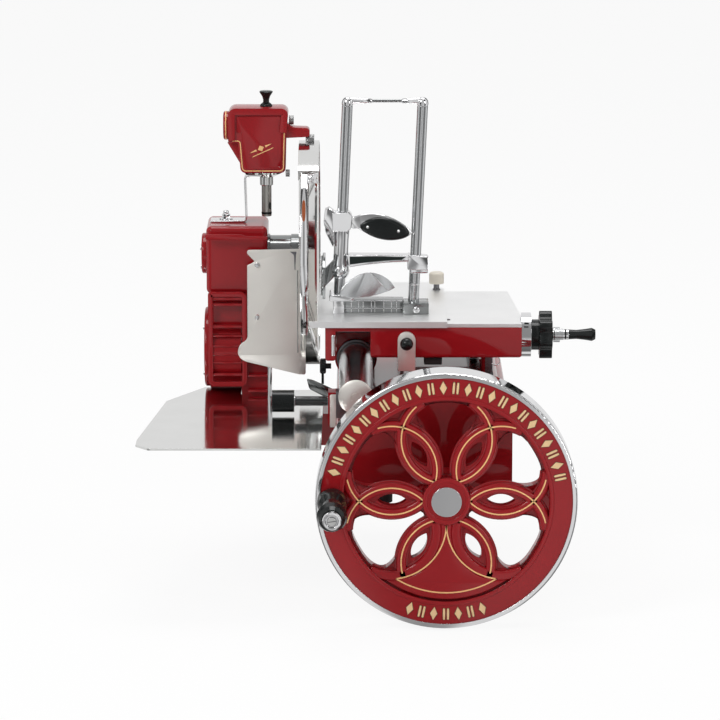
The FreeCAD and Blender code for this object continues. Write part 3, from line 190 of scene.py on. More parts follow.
def effect_group(name, inputs, outputs):
    """A shader node group with named sockets; gives the group and its two end nodes."""
    group = bpy.data.node_groups.new(name, "ShaderNodeTree")
    for label, kind, value in inputs:
        socket = group.interface.new_socket(label, in_out="INPUT", socket_type="NodeSocket" + kind)
        if value is not None:
            socket.default_value = value
    for label, kind in outputs:
        group.interface.new_socket(label, in_out="OUTPUT", socket_type="NodeSocket" + kind)
    start = group.nodes.new("NodeGroupInput")
    end = group.nodes.new("NodeGroupOutput")
    return group, start.outputs, end.inputs


def noise(tree, place, scale, detail, stretch=(1, 1, 1)):
    """Cloudy noise from -0.5 to 0.5, stretched along the axes."""
    bent = linked(tree, "ShaderNodeMapping", Vector=place, Scale=stretch)
    made = linked(tree, "ShaderNodeTexNoise", Vector=bent.outputs[0], Scale=scale, Detail=detail)
    return arithmetic(tree, "SUBTRACT", made.outputs["Fac"], 0.5)


SKIN_OUT = (("Colour", "Color"), ("Roughness", "Float"), ("Normal", "Vector"))


def send_out(tree, given, kept, tint, haze, height, depth):
    """End a group: colour tinted by a share of itself, roughness hazed, surface raised."""
    blend = tree.nodes.new("ShaderNodeMix")
    blend.data_type = "RGBA"
    blend.blend_type = "MULTIPLY"
    level = arithmetic(tree, "ADD", tint, 1.0)
    for label, value in (("Factor", 1.0), ("A", given["Colour"]), ("B", level)):
        feed(tree, value, blend.inputs[label])
    bump = linked(tree, "ShaderNodeBump", Height=height, Distance=depth, Normal=given["Normal"])
    feed(tree, blend.outputs["Result"], kept["Colour"])
    feed(tree, arithmetic(tree, "ADD", given["Roughness"], haze, True), kept["Roughness"])
    feed(tree, bump.outputs[0], kept["Normal"])


enamel_skin, given, kept = effect_group("enamel_skin", (("Place", "Vector", None),
    ("Colour", "Color", (0.3, 0.01, 0.01, 1)), ("Roughness", "Float", 0.2), ("Peel", "Float", 3e-5),
    ("Normal", "Vector", None)), SKIN_OUT)
tree = enamel_skin
cloud = noise(tree, given["Place"], 9, 3)
speck = noise(tree, given["Place"], 700, 1)
peel = noise(tree, given["Place"], 240, 1)
haze = arithmetic(tree, "ADD", arithmetic(tree, "MULTIPLY", cloud, 0.1),
    arithmetic(tree, "MULTIPLY", speck, 0.05))
send_out(tree, given, kept, arithmetic(tree, "MULTIPLY", cloud, 0.22), haze, peel, given["Peel"])


def finish_of(name, skin, colour, roughness, metallic=0.0, edge=0.0008, **values):
    """A Principled surface fed by an effect group, its edges rounded; values go where they are named."""
    material = bpy.data.materials.new(name)
    material.use_nodes = True
    tree = material.node_tree
    surface = tree.nodes["Principled BSDF"].inputs
    rounded = linked(tree, "ShaderNodeBevel", Radius=edge)
    rounded.samples = 4
    effect = tree.nodes.new("ShaderNodeGroup")
    effect.node_tree = skin
    tree.links.new(tree.nodes.new("ShaderNodeTexCoord").outputs["Object"], effect.inputs["Place"])
    tree.links.new(rounded.outputs[0], effect.inputs["Normal"])
    values.update(Colour=(*colour, 1), Metallic=metallic)
    effect.inputs["Roughness"].default_value = roughness
    for label, value in values.items():
        owner = effect.inputs if label in effect.inputs else surface
        owner[label.replace("_", " ")].default_value = value
    for made, socket in (("Colour", "Base Color"), ("Roughness", "Roughness"), ("Normal", "Normal")):
        tree.links.new(effect.outputs[made], surface[socket])
    return material


def metal(name, colour, roughness, edge, marks, depth, metallic=1.0):
    """A bare or plated metal with marks from polishing."""
    return finish_of(name, polish_marks, colour, roughness, metallic, edge, Marks=marks, Depth=depth)


def dress(material, *names):
    """Give the material to CAD nodes."""
    for name in names:
        mesh = nodes[name].data
        mesh.materials.clear()
        mesh.materials.append(material)


red_enamel = finish_of("red_enamel", enamel_skin, (0.32, 0.008, 0.012), 0.35, edge=0.0016,
    Specular_IOR_Level=0.05, Coat_Weight=0.75, Coat_Roughness=0.03, Coat_IOR=1.5)
dress(red_enamel, "base_casting", "chain_case", "carriage_casting", "flywheel", "spindle_housing",
    "sharpener_housing", "sharpener_covers", "case_covers")

# ---------- plated and bright metal
# Rods, rims, caps and small fittings are steel with polished chrome plate; plates, tray and blade
# are polished stainless steel. Handling leaves hair-fine marks and faint smudges on both.
polish_marks, given, kept = effect_group("polish_marks", (("Place", "Vector", None),
    ("Colour", "Color", (0.8, 0.8, 0.8, 1)), ("Roughness", "Float", 0.05), ("Marks", "Float", 0.03),
    ("Depth", "Float", 1.2e-6), ("Normal", "Vector", None)), SKIN_OUT)
tree = polish_marks
smudge = noise(tree, given["Place"], 22, 4)
hairs = noise(tree, given["Place"], 160, 2, (1, 1, 14))
cross_hairs = noise(tree, given["Place"], 160, 2, (14, 1, 1))
marks = arithmetic(tree, "MAXIMUM", hairs, cross_hairs)
rubbed = arithmetic(tree, "MULTIPLY", arithmetic(tree, "ADD", smudge, marks), given["Marks"])
send_out(tree, given, kept, arithmetic(tree, "MULTIPLY", smudge, 0.1), rubbed, marks, given["Depth"])

chrome = finish_of("chrome", polish_marks, (0.84, 0.84, 0.85), 0.05, 1.0, edge=0.0009)
dress(chrome, "flywheel_rim", "hub_cap", "guide_bar", "feed_collar", "press_frame", "cover_screws",
    "sharpener_bracket", "sharpener_knobs", "sharpener_flange", "sharpener_spindle", "press_slide",
    "front_strap", "handle_pin", "press_lock_lever", "press_lever")
bright_steel = metal("bright_steel", (0.8, 0.8, 0.79), 0.09, 0.0006, 0.08, 3e-6)
dress(bright_steel, "blade", "blade_cover", "slice_deflector", "receiving_tray", "table_plate",
    "product_plate", "blade_guard", "feed_screw")
oiled_steel = metal("oiled_steel", (0.2, 0.2, 0.21), 0.28, 0.0005, 0.25, 2e-5)
dress(oiled_steel, "flywheel_shaft", "cross_shaft", "cross_bevel_gear", "crank_disc", "drive_sprocket",
    "chain_shaft", "chain_shaft_sprockets", "blade_spindle", "rocker_lever", "connecting_rod",
    "carriage_rail", "rocker_pivot_pin", "drive_chains", "carriage_roller", "latch_lever",
    "bar_brackets", "bottom_pan")
bronze = metal("bronze", (0.55, 0.33, 0.14), 0.3, 0.0004, 0.2, 1e-5)
dress(bronze, "bearing_bushes", "carriage_bushes")

# ---------- black and pale parts
# Grips and hand wheels are moulded in hard black plastic and buffed; feet are moulded rubber; the
# peg's knob is plated, and is coloured a flat beige to paint the beige room it reflects; the two
# sharpening stones are bonded grit.
black_plastic = finish_of("black_plastic", enamel_skin, (0.006, 0.008, 0.008), 0.26, edge=0.0012,
    Peel=1e-5, Specular_IOR_Level=0.15, Coat_Weight=0.45, Coat_Roughness=0.12)
dress(black_plastic, "handle_grip", "thickness_knob", "feed_crank", "feed_crank_grip", "press_grip",
    "clamp_knob", "sharpener_push_knob")
black_rubber = finish_of("black_rubber", enamel_skin, (0.016, 0.016, 0.017), 0.7, edge=0.002,
    Peel=0.0002)
dress(black_rubber, "rubber_feet")
# The peg's knob: a flat beige that stands for the room reflected in its plating, a painted reflection.
peg_reflection_beige = finish_of("peg_painted_reflection", enamel_skin, (0.78, 0.72, 0.62), 0.3, edge=0.001, Peel=1e-5)
dress(peg_reflection_beige, "plate_peg")
grit = finish_of("grit", enamel_skin, (0.25, 0.22, 0.19), 0.85, edge=0.0003, Peel=0.0006)
dress(grit, "sharpening_stones")

# ---------- the flywheel
# One iron casting, turned on its face and rim. Six round bands overlap like petals; the lowest is a
# solid fan that balances the hand grip. The web is set back, so that bands, fan and bead stand proud.
wheel_low, wheel_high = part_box("flywheel")
wheel_x = (wheel_low.x + wheel_high.x) / 2
wheel_z = (wheel_low.z + wheel_high.z) / 2
face_y = wheel_low.y
petal_reach, petal_radius, band_wide = 0.0878, 0.0627, 0.014
ring_inside, web_depth, band_depth = 0.144, 0.01, 0.0012
petal_turns = (30, 90, 150, 210, 330)
bm = bmesh.new()        # the bench: every piece is made here, and piece() clears it


def piece(name, material, body, slot, edge=None, segments=2, crease=35):
    """Turn what is on the bench into an object that rides on a body; edge is a bevel's width."""
    global bm
    if edge:
        sharp = [e for e in bm.edges if len(e.link_faces) == 2 and e.calc_face_angle(0) > 0.6]
        bmesh.ops.bevel(bm, geom=sharp, offset=edge, offset_type="OFFSET", affect="EDGES",
            segments=segments, profile=0.5, material=-1, clamp_overlap=True)
    bmesh.ops.remove_doubles(bm, verts=bm.verts, dist=1e-6)
    bmesh.ops.recalc_face_normals(bm, faces=bm.faces)
    mesh = bpy.data.meshes.new(name)
    bm.to_mesh(mesh)
    bm.free()
    bm = bmesh.new()
    mesh.materials.append(material)
    mesh.shade_smooth()
    mesh.set_sharp_from_angle(angle=math.radians(crease))
    made = placed(name, mesh)
    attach(made, body)
    return made


axes = {"X": Vector((1, 0, 0)), "Y": Vector((0, 1, 0)), "Z": Vector((0, 0, 1))}


def turned(degrees, across, verts=None, about=(0, 0, 0)):
    """Turn corners, or all of them, about an axis through a point."""
    bmesh.ops.rotate(bm, verts=verts or bm.verts, cent=about,
        matrix=Matrix.Rotation(math.radians(degrees), 3, across))


def moved(verts, vec):
    bmesh.ops.translate(bm, verts=verts, vec=vec)


def disc(segments, radius=1):
    """A flat disc about the Z axis; gives its corners."""
    return bmesh.ops.create_circle(bm, cap_ends=True, segments=segments, radius=radius)["verts"]


def pushed_out(bm, faces, step):
    """Extrude faces by a step and give the corners that moved."""
    above = [v for v in bmesh.ops.extrude_face_region(bm, geom=faces)["geom"]
        if isinstance(v, bmesh.types.BMVert)]
    bmesh.ops.translate(bm, verts=above, vec=step)
    return above


def cut(place, normal, clear=False):
    """Cut all that is on the bench along a plane; clear takes away what is beyond it."""
    bmesh.ops.bisect_plane(bm, geom=bm.verts[:] + bm.edges[:] + bm.faces[:], plane_co=place,
        plane_no=normal, clear_outer=clear)


def lathe(profile, centre, across="Z", steps=40):
    """Spin (radius, place along the axis) corners about an axis through a point."""
    way, out = axes[across], axes["X" if across == "Z" else "Z"]
    line = [bm.verts.new(Vector(centre) + out * reach + way * along) for reach, along in profile]
    edges = [bm.edges.new(pair) for pair in zip(line, line[1:])]
    bmesh.ops.spin(bm, geom=line + edges, cent=centre, axis=way, angle=2 * math.pi, steps=steps,
        use_merge=True)


def on_wheel(reach, degrees, depth):
    """A point of the wheel: its distance from the axis, its angle and its depth behind the face."""
    turn = math.radians(degrees)
    return Vector((wheel_x + reach * math.cos(turn), face_y + depth, wheel_z + reach * math.sin(turn)))


def oblong(centre, wide, high):
    """A small upright oblong face to be swept; gives its corners."""
    section = bmesh.ops.create_grid(bm, x_segments=1, y_segments=1, size=0.5)["verts"]
    bmesh.ops.scale(bm, verts=section, vec=(wide, high, 1))
    moved(section, centre)
    return section


def swept_arc(centre, radius, start, stop, wide, high, steps):
    """Sweep an oblong section about a centre on the wheel, from one angle to another."""
    section = oblong(centre + Vector((radius, 0, 0)), wide, high)
    turned(-start, "Y", section, centre)
    face = section[0].link_faces[0]
    bmesh.ops.spin(bm, geom=section + face.edges[:] + [face], cent=centre, axis=(0, -1, 0),
        angle=math.radians(stop - start), steps=steps)


def petal_arc(turn, side, start, stop, wide, high, depth, steps=28):
    """A strip along one side of a petal, between two angles counted from its outermost point."""
    swept_arc(on_wheel(petal_reach, turn, depth), petal_radius, turn + side * start,
        turn + side * stop, wide, high, steps)


bm.from_mesh(nodes["flywheel"].data)
bmesh.ops.remove_doubles(bm, verts=bm.verts, dist=1e-5)
bmesh.ops.dissolve_limit(bm, angle_limit=0.002, verts=bm.verts, edges=bm.edges)
web_face = [v for v in bm.verts if abs(v.co.y - face_y - 0.004) < 3e-4
    and math.hypot(v.co.x - wheel_x, v.co.z - wheel_z) < ring_inside + 1e-3]
moved(web_face, (0, web_depth - 0.004, 0))
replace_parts(piece("wheel_casting", red_enamel, "flywheel", "red_enamel", crease=30), "flywheel")

# The petals' bands, each from the ring inwards to the hub on both sides of its opening, with a cove
# at their foot where the pattern maker rounded the corner.
petal_strips = (("band", band_wide, web_depth, band_depth + web_depth / 2, 0.0032, 5),
    ("foot", band_wide + 0.005, 0.0032, web_depth - 0.0002, 0.0014, 2))
for number, turn in enumerate((*petal_turns, 270)):
    start = 66 if turn == 270 else 31
    for side in (-1, 1):
        for name, wide, high, depth, *bevel in petal_strips:
            petal_arc(turn, side, start, 168, wide, high, depth)
            piece(f"petal_{name}_{number}_{side + 1}", red_enamel, "flywheel", "red_enamel", *bevel)

# The balance fan between the two lowest petals, flush with the bands.
fan_flank, fan_out, fan_in = 0.069, 0.1405, 0.033


def flank_angle(reach):
    """Where a flank of the fan is at a distance from the wheel's axis, seen from its petal's centre."""
    share = (reach ** 2 - petal_reach ** 2 - fan_flank ** 2) / (2 * petal_reach * fan_flank)
    return math.degrees(math.acos(share))


def flank_line(turn, side):
    """Points along one flank of the fan, from the ring inwards to the hub."""
    near, far = flank_angle(fan_out), flank_angle(fan_in)
    centre = on_wheel(petal_reach, turn, band_depth)
    turns = [math.radians(turn + side * (near + (far - near) * step / 16)) for step in range(17)]
    return [centre + Vector((math.cos(angle), 0, math.sin(angle))) * fan_flank for angle in turns]


left, right = flank_line(210, 1), flank_line(330, -1)
half_angle = math.degrees(math.atan2(right[0].x - wheel_x, wheel_z - right[0].z))
bottom = [on_wheel(fan_out, 270 + half_angle * (1 - step / 9), band_depth) for step in range(1, 18)]
fan_face = bm.faces.new([bm.verts.new(spot) for spot in right[::-1] + bottom + left])
pushed_out(bm, [fan_face], (0, web_depth, 0))
piece("balance_fan", red_enamel, "flywheel", "red_enamel", 0.0022, 4)


def hoop(name, radius, wide, high, depth, material, slot, edge):
    """A ring with an oblong section, round the wheel's axis."""
    oblong((radius + wheel_x, face_y + depth, wheel_z), wide, high)
    bmesh.ops.delete(bm, geom=bm.faces[:], context="FACES_ONLY")
    bmesh.ops.spin(bm, geom=bm.edges[:] + bm.verts[:], cent=(wheel_x, face_y, wheel_z), axis=(0, 1, 0),
        angle=2 * math.pi, steps=160, use_merge=True)
    piece(name, material, "flywheel", slot, edge, 3)


hoop("ring_bead", 0.1462, 0.006, 0.0024, 0.0002, red_enamel, "red_enamel", 0.001)
hoop("hub_bead", 0.03, 0.0066, 0.002, 0.0002, red_enamel, "red_enamel", 0.0009)

# ---------- the gold lining
# A coach painter's thin lines of warm gold run along every petal's band, meet at the hub and cross
# before the rim; on the fan they close into a curved triangle. They are paint, a hair thick.
gold_paint = finish_of("gold_paint", enamel_skin, (0.93, 0.55, 0.24), 0.42, edge=0.0002, Peel=1e-5,
    Specular_IOR_Level=0.2, Coat_Weight=0.3, Coat_Roughness=0.1)
line_wide, paint_thick = 0.0019, 0.0004
line_depth = band_depth - 0.0001
for turn in petal_turns:
    for side in (-1, 1):
        if (turn, side) not in ((210, 1), (330, -1)):
            petal_arc(turn, side, 42, 165.7, line_wide, paint_thick, line_depth, steps=44)
for side in (-1, 1):
    petal_arc(270, side, 76, 165.7, line_wide, paint_thick, line_depth, steps=30)
fan_line, fan_line_out, fan_corner = 0.0786, 0.1307, 32.2
for centre_x, start, stop in ((fan_line, 181.1, 263.4), (-fan_line, 276.6, 358.9)):
    centre = on_wheel(0, 0, line_depth) + Vector((centre_x, 0, -0.0325))
    swept_arc(centre, fan_line, start, stop, line_wide, paint_thick, 30)
swept_arc(on_wheel(0, 0, line_depth), fan_line_out, 270 - fan_corner, 270 + fan_corner, line_wide,
    paint_thick, 30)
piece("gold_lines", gold_paint, "flywheel", "red_enamel")

# Raised border on the ring: a plain founder's row of lozenges and bars, gilded, each set on a
# slightly larger dark brown plate that rims it.
gilt = finish_of("gilt_border", enamel_skin, (0.88, 0.62, 0.34), 0.45, edge=0.0004, Peel=2e-5,
    Specular_IOR_Level=0.2)
dark_edge = finish_of("dark_edge", enamel_skin, (0.1, 0.035, 0.015), 0.5, edge=0.0002)
border_reach, border_pitch = 0.161, 6.1
border_turns = [165 - border_pitch * step for step in range(26)]
border_turns += [270 + border_pitch * (step - 3) for step in range(7)]


def border_shape(number, degrees, grow, depth):
    """One lozenge or pair of bars, standing radially on the ring, grown by the width of its edge."""
    bar_apart, sunk = 0.0028, 0.0004
    lozenge = number % 2 == 0
    for shift in ((0,) if lozenge else (-bar_apart, bar_apart)):
        made = disc(4 if lozenge else 12)
        if lozenge:
            half_wide, half_high = 0.005 + grow * 1.4, 0.0094 + grow * 1.4
        else:
            half_wide, half_high = 0.0016 + grow, 0.0082 + grow
            for v in made:
                high = math.copysign(min(abs(v.co.y) * 0.2 + 0.8, 1), v.co.y)
                v.co.y = high if abs(v.co.y) > 0.1 else 0
        bmesh.ops.scale(bm, verts=made, vec=(half_wide, half_high, 1))
        moved(made, (shift, border_reach, 0))
        turned(90, "X", made)
        turned(90 - degrees, "Y", made)
        moved(made, (wheel_x, face_y + sunk, wheel_z))
        pushed_out(bm, [made[0].link_faces[0]], (0, -depth - sunk, 0))


for name, material, grow, depth, edge in (("border_edge", dark_edge, 0.0007, 0.0003, None),
        ("border", gilt, 0.0, 0.0009, 0.0004)):
    for number, degrees in enumerate(border_turns):
        border_shape(number, degrees, grow, depth)
    piece(f"ring_{name}", material, "flywheel", "red_enamel", edge)

# The grip turns on a plated pin; the pin's head is a dished washer with a slotted screw in it.
pin_low, pin_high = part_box("handle_pin")
pin_x, pin_z = (pin_low.x + pin_high.x) / 2, (pin_low.z + pin_high.z) / 2
pin_long = pin_high.y - pin_low.y
lathe(((0, 0.002), (0.0085, 0.002), (0.0092, 0.0004), (0.0118, 0), (0.013, 0.0012), (0.013, 0.004),
    (0.007, 0.004), (0.007, pin_long), (0, pin_long)), (pin_x, pin_low.y, pin_z), "Y", 48)
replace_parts(piece("grip_pin", chrome, "flywheel", "chrome"), "handle_pin")
screw_reach, slot_wide, slot_tilt = 0.006, 0.0011, math.radians(-8)
screw_z = pin_z - 0.0008
for name, reach, low, high, material in (("grip_screw", screw_reach, 0.0004, 0.0025, bright_steel),
        ("grip_screw_ring", 0.0066, 0.0008, 0.0025, oiled_steel)):
    made = disc(48, reach)
    pushed_out(bm, [made[0].link_faces[0]], (0, 0, high - low))
    turned(-90, "X")
    moved(bm.verts, (pin_x, pin_low.y + low, screw_z))
    piece(name, material, "flywheel", "chrome")
# The screw's slot is not cut: a thin dark strip on its face paints the slot's shade.
bmesh.ops.create_cube(bm, size=1, matrix=Matrix.Translation((pin_x, pin_low.y + 0.0006, screw_z))
    @ Matrix.Rotation(slot_tilt, 4, "Y") @ Matrix.Diagonal((screw_reach * 1.9, 0.0006, slot_wide, 1)))
piece("grip_screw_slot_shade", oiled_steel, "flywheel", "dark_steel")

# ---------- the sharpener head
# A small hollow casting stands over the blade on a bent strap. Its front wears a raised moulding over
# the top, a gold line round the chin and a sunk panel; a push knob works the honing stone inside.
head_low_x, head_high_x = -0.2835, -0.1945
head_front, head_back = 0.127, 0.174
needle_x = sum(corner.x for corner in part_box("sharpener_spindle")) / 2
head_y = (head_front + head_back) / 2
panel_sunk = 0.0035
panel_y = head_front + panel_sunk
needle, cover_centre = (needle_x, head_y, 0), (0, head_y, 0.488)


def outline_face(bm, corners, level, across="Y"):
    """A flat face through (a, b) or (a, b, radius) corners, at a level on the Y or the X axis."""
    corners = [(*corner, 0)[:3] for corner in corners]
    verts = [bm.verts.new((level, a, b) if across == "X" else (a, level, b)) for a, b, _ in corners]
    bm.faces.new(verts)
    for vert, (_, _, radius) in zip(verts, corners):
        if radius:
            bmesh.ops.bevel(bm, geom=[vert], offset=radius, offset_type="OFFSET", affect="VERTICES",
                segments=6, profile=0.5, material=-1)
    bm.faces.ensure_lookup_table()
    return bm.faces[-1]


def poured(part):
    """Add a part that was built apart."""
    joined = bpy.data.meshes.new("joined")
    part.to_mesh(joined)
    part.free()
    bm.from_mesh(joined)
    bpy.data.meshes.remove(joined)


def slab(corners, low, high, across="Y"):
    """A plate with the given outline between two levels on an axis."""
    part = bmesh.new()
    pushed_out(part, [outline_face(part, corners, low, across)], axes[across] * (high - low))
    poured(part)


def bar(left, right, foot, top, low, high, corner=0):
    """An oblong slab across the Y axis, its four corners rounded alike."""
    slab([(x, z, corner) for x, z in ((left, foot), (right, foot), (right, top), (left, top))],
        low, high)


def outline_strip(corners, level, wide, thick, keep=None):
    """A narrow raised band just inside an outline; keep tells which of its faces stay."""
    part = bmesh.new()
    rim = bmesh.ops.inset_region(part, faces=[outline_face(part, corners, level)], thickness=wide,
        use_boundary=True, use_even_offset=True)["faces"]
    unwanted = [f for f in part.faces if f not in rim or keep and not keep(f.calc_center_median())]
    bmesh.ops.delete(part, geom=unwanted, context="FACES")
    pushed_out(part, part.faces[:], (0, -thick, 0))
    poured(part)


head_outline = ((head_low_x, 0.5165, 0.011), (head_high_x, 0.5165, 0.011), (head_high_x - 0.0035, 0.48),
    (head_high_x - 0.005, 0.4195, 0.0075), (-0.2655, 0.4195, 0.0075), (-0.269, 0.464, 0.003),
    (head_low_x, 0.464, 0.004))
slab(head_outline, panel_y, head_back - 0.0002)
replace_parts(piece("sharpener_shell", red_enamel, "sharpener", "red_enamel", 0.003, 5),
    "sharpener_housing")
outline_strip(head_outline, panel_y + 0.001, 0.01, panel_sunk + 0.0018, keep=lambda spot: spot.z > 0.47)
piece("sharpener_moulding", red_enamel, "sharpener", "red_enamel", 0.003, 5)
slab(((-0.2715, 0.48), (-0.2715, 0.5045, 0.002), (-0.2055, 0.5045, 0.002), (-0.2055, 0.4255, 0.006),
    (-0.26, 0.4255, 0.006), (-0.264, 0.48)), panel_y - 0.001, panel_y + 0.001)
piece("sharpener_panel", red_enamel, "sharpener", "red_enamel", 0.0008)
slab(((-0.285, 0.464), (-0.268, 0.464), (-0.262, 0.422), (-0.257, 0.417)), 0.14, 0.152)
slab(((-0.202, 0.4705), (-0.164, 0.4725, 0.004), (-0.164, 0.4855, 0.005), (-0.19, 0.4865, 0.006),
    (-0.202, 0.496)), 0.1385, 0.1615)
piece("sharpener_arm", red_enamel, "sharpener", "red_enamel", 0.003, 5)

# A round cover closes the head on the left, with a gold line on its rim, and a plate closes the back.
lathe(((0, -0.291), (0.019, -0.291), (0.021, -0.2895), (0.021, -0.283), (0, -0.283)), cover_centre, "X",
    56)
slab(((-0.279, 0.468, 0.002), (-0.201, 0.468, 0.002), (-0.201, 0.512, 0.006), (-0.279, 0.512, 0.006)),
    head_back - 0.001, head_back + 0.0004)
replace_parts(piece("sharpener_caps", red_enamel, "sharpener", "red_enamel", 0.0006), "sharpener_covers")

# The chin's gold line and, on the panel, a small painted lozenge with two tapering strokes.
line_outline = ((-0.278, 0.467, 0.002), (-0.2668, 0.467, 0.003), (-0.2634, 0.4225, 0.006),
    (-0.202, 0.4225, 0.006), (-0.2005, 0.4805, 0.002), (-0.196, 0.4815), (-0.196, 0.5), (-0.278, 0.5))
outline_strip(line_outline, panel_y + 0.0002, 0.0015, 0.0009,
    keep=lambda spot: spot.z < 0.4815 and spot.x > -0.2776)
lathe(((0.0209, -0.288), (0.0213, -0.288), (0.0213, -0.2864), (0.0209, -0.2864), (0.0209, -0.288)),
    cover_centre, "X", 56)
piece("sharpener_line", gold_paint, "sharpener", "red_enamel")
for stroke in (((-0.005, 0), (0, -0.0045), (0.005, 0), (0, 0.0045)),
        ((-0.018, 0), (-0.007, -0.0016), (-0.007, 0.0016)),
        ((0.018, 0), (0.007, 0.0016), (0.007, -0.0016)),
        ((-0.018, -0.0072), (0.015, -0.0072), (0.018, -0.006), (-0.015, -0.006))):
    slab(stroke, -0.0004, 0.0001)
turned(-24, "Y")
moved(bm.verts, (-0.2355, panel_y - 0.001, 0.457))
piece("sharpener_motif", gold_paint, "sharpener", "red_enamel")


def knurled(centre, radius, length):
    """A knurled disc: a toothed circle pushed out along the X axis."""
    made = disc(44, radius)
    for number, vert in enumerate(made):
        vert.co *= 1.0 if number % 2 else 0.92
    made += pushed_out(bm, [made[0].link_faces[0]], (0, 0, length))
    turned(90, "Y", made)
    moved(made, centre)


dull_steel = metal("dull_steel", (0.33, 0.33, 0.33), 0.32, 0.0004, 0.2, 1e-5)
ground_steel = metal("ground_steel", (0.5, 0.49, 0.46), 0.3, 0.0004, 0.2, 6e-6)
knurled((-0.1945, head_y, 0.496), 0.0068, 0.007)
knurled((-0.1995, head_y - 0.01, 0.4185), 0.0055, 0.006)
knurled((-0.17, head_y, 0.4675), 0.0074, 0.0125)
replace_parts(piece("sharpener_knurled_knobs", dull_steel, "sharpener", "grey_steel", 0.0003, 1),
    "sharpener_knobs")
knob_foot = 0.5158
lathe([(reach, knob_foot + up) for reach, up in ((0.0052, 0), (0.0088, 0), (0.0092, 0.002),
    (0.008, 0.004), (0.0055, 0.006), (0.0052, 0.006), (0.0052, 0))], needle)
piece("sharpener_knob_seat", black_plastic, "sharpener", "black_grip", crease=60)
lathe([(reach, knob_foot + up) for reach, up in ((0, 0.0042), (0.0046, 0.0042), (0.0045, 0.0105),
    (0.006, 0.0155), (0.0096, 0.021), (0.01, 0.0223), (0.009, 0.0233), (0, 0.0235))], needle)
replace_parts(piece("sharpener_knob", black_plastic, "sharpener_plunger", "black_grip", crease=60),
    "sharpener_push_knob")

# The stem below the head: a polished collar, the ground spindle with its slot, shown by a black strip
# that paints the slot's shade, and a black end ring.
lathe(((0.0074, 0.42), (0.0215, 0.42), (0.022, 0.4172), (0.014, 0.413), (0.0098, 0.4118), (0.0098, 0.4),
    (0.0088, 0.399), (0.0074, 0.399), (0.0074, 0.42)), needle)
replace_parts(piece("sharpener_collar", bright_steel, "sharpener", "chrome"), "sharpener_flange")
lathe(((0, 0.353), (0.0068, 0.353), (0.0073, 0.3536), (0.0073, 0.514), (0, 0.514)), needle)
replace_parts(piece("sharpener_stem", ground_steel, "sharpener_plunger", "bright_steel"),
    "sharpener_spindle")
lathe(((0.007, 0.356), (0.0077, 0.3564), (0.0077, 0.3592), (0.007, 0.3596), (0.007, 0.356)), needle)
# The slot is not cut: a black strip standing proud on the stem paints its shade.
bar(needle_x + 0.0046, needle_x + 0.0064, 0.364, 0.374, head_y - 0.0071, head_y - 0.003)
piece("stem_ring_and_slot_shade", black_plastic, "sharpener_plunger", "dark_steel")

# The strap that carries the head is one strip of plated steel, bent twice and bolted to the case.
strap_out = 0.015
slab(((-0.23, 0.417), (-0.261, 0.417, 0.0075), (-0.259, 0.348, 0.0045), (-0.311, 0.348, 0.0015),
    (-0.311, 0.3452, 0.001), (-0.256, 0.3452, 0.0075), (-0.258, 0.4142, 0.0045), (-0.23, 0.4142)),
    head_y - strap_out, head_y + strap_out)
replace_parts(piece("sharpener_strap", chrome, "frame", "chrome", 0.0004), "sharpener_bracket")
bolt_x = -0.288
lathe(((0, 0.348), (0.0098, 0.348), (0.0098, 0.3496), (0.007, 0.35), (0, 0.35)), (bolt_x, head_y, 0))
made = disc(6, 0.0068)
made += pushed_out(bm, [made[0].link_faces[0]], (0, 0, 0.006))
moved(made, (bolt_x, head_y, 0.35))
lathe(((0, 0.3555), (0.004, 0.3555), (0.004, 0.36), (0.0032, 0.3612), (0, 0.3612)), (bolt_x, head_y, 0))
piece("strap_bolt", chrome, "frame", "chrome", 0.0005)

# ---------- the meat press
# Two leaning rods stand on a ribbed rail and are tied at the top by a slim bar with ball ends. A hub
# slides on the left rod and carries the lever, the lower arm and the spiked plate. All of it is
# chromed iron, but for the two black scales riveted to the lever.
press_y = 0.01
press_lean = 2.5
lean_centre = (-0.064, press_y, 0.2365)
rods, rod_reach = ((-0.1213, 0.536), (-0.0133, 0.5405)), 0.0078

satin_chrome = metal("satin_chrome", (0.66, 0.67, 0.68), 0.2, 0.0004, 0.1, 2e-6)
# A nearly black copy of chrome, used only to paint the shade in the lower arm's hollow.
painted_shade_chrome = metal("painted_shade_chrome", (0.045, 0.06, 0.055), 0.18, 0.0004, 0.1, 2e-6)
# A dark grey copy of chrome: plated parts painted dark to stand for the shade and dark reflections they
# show, not a darker plating.
painted_shade_and_reflection_chrome = metal("painted_shade_and_reflection_chrome", (0.3, 0.31, 0.31), 0.14, 0.0005, 0.1, 2e-6)


def lens_corners(left, right, rise, drop, steps, full):
    """Corners of a lens between two points, bulging by rise above and by drop below."""
    (ax, az), (bx, bz) = left, right
    line = [(number / steps, rise) for number in range(steps + 1)]
    line += [(number / steps, -drop) for number in range(steps - 1, 0, -1)]
    return [(ax + (bx - ax) * t, az + (bz - az) * t + bulge * math.sin(math.pi * t) ** full)
        for t, bulge in line]


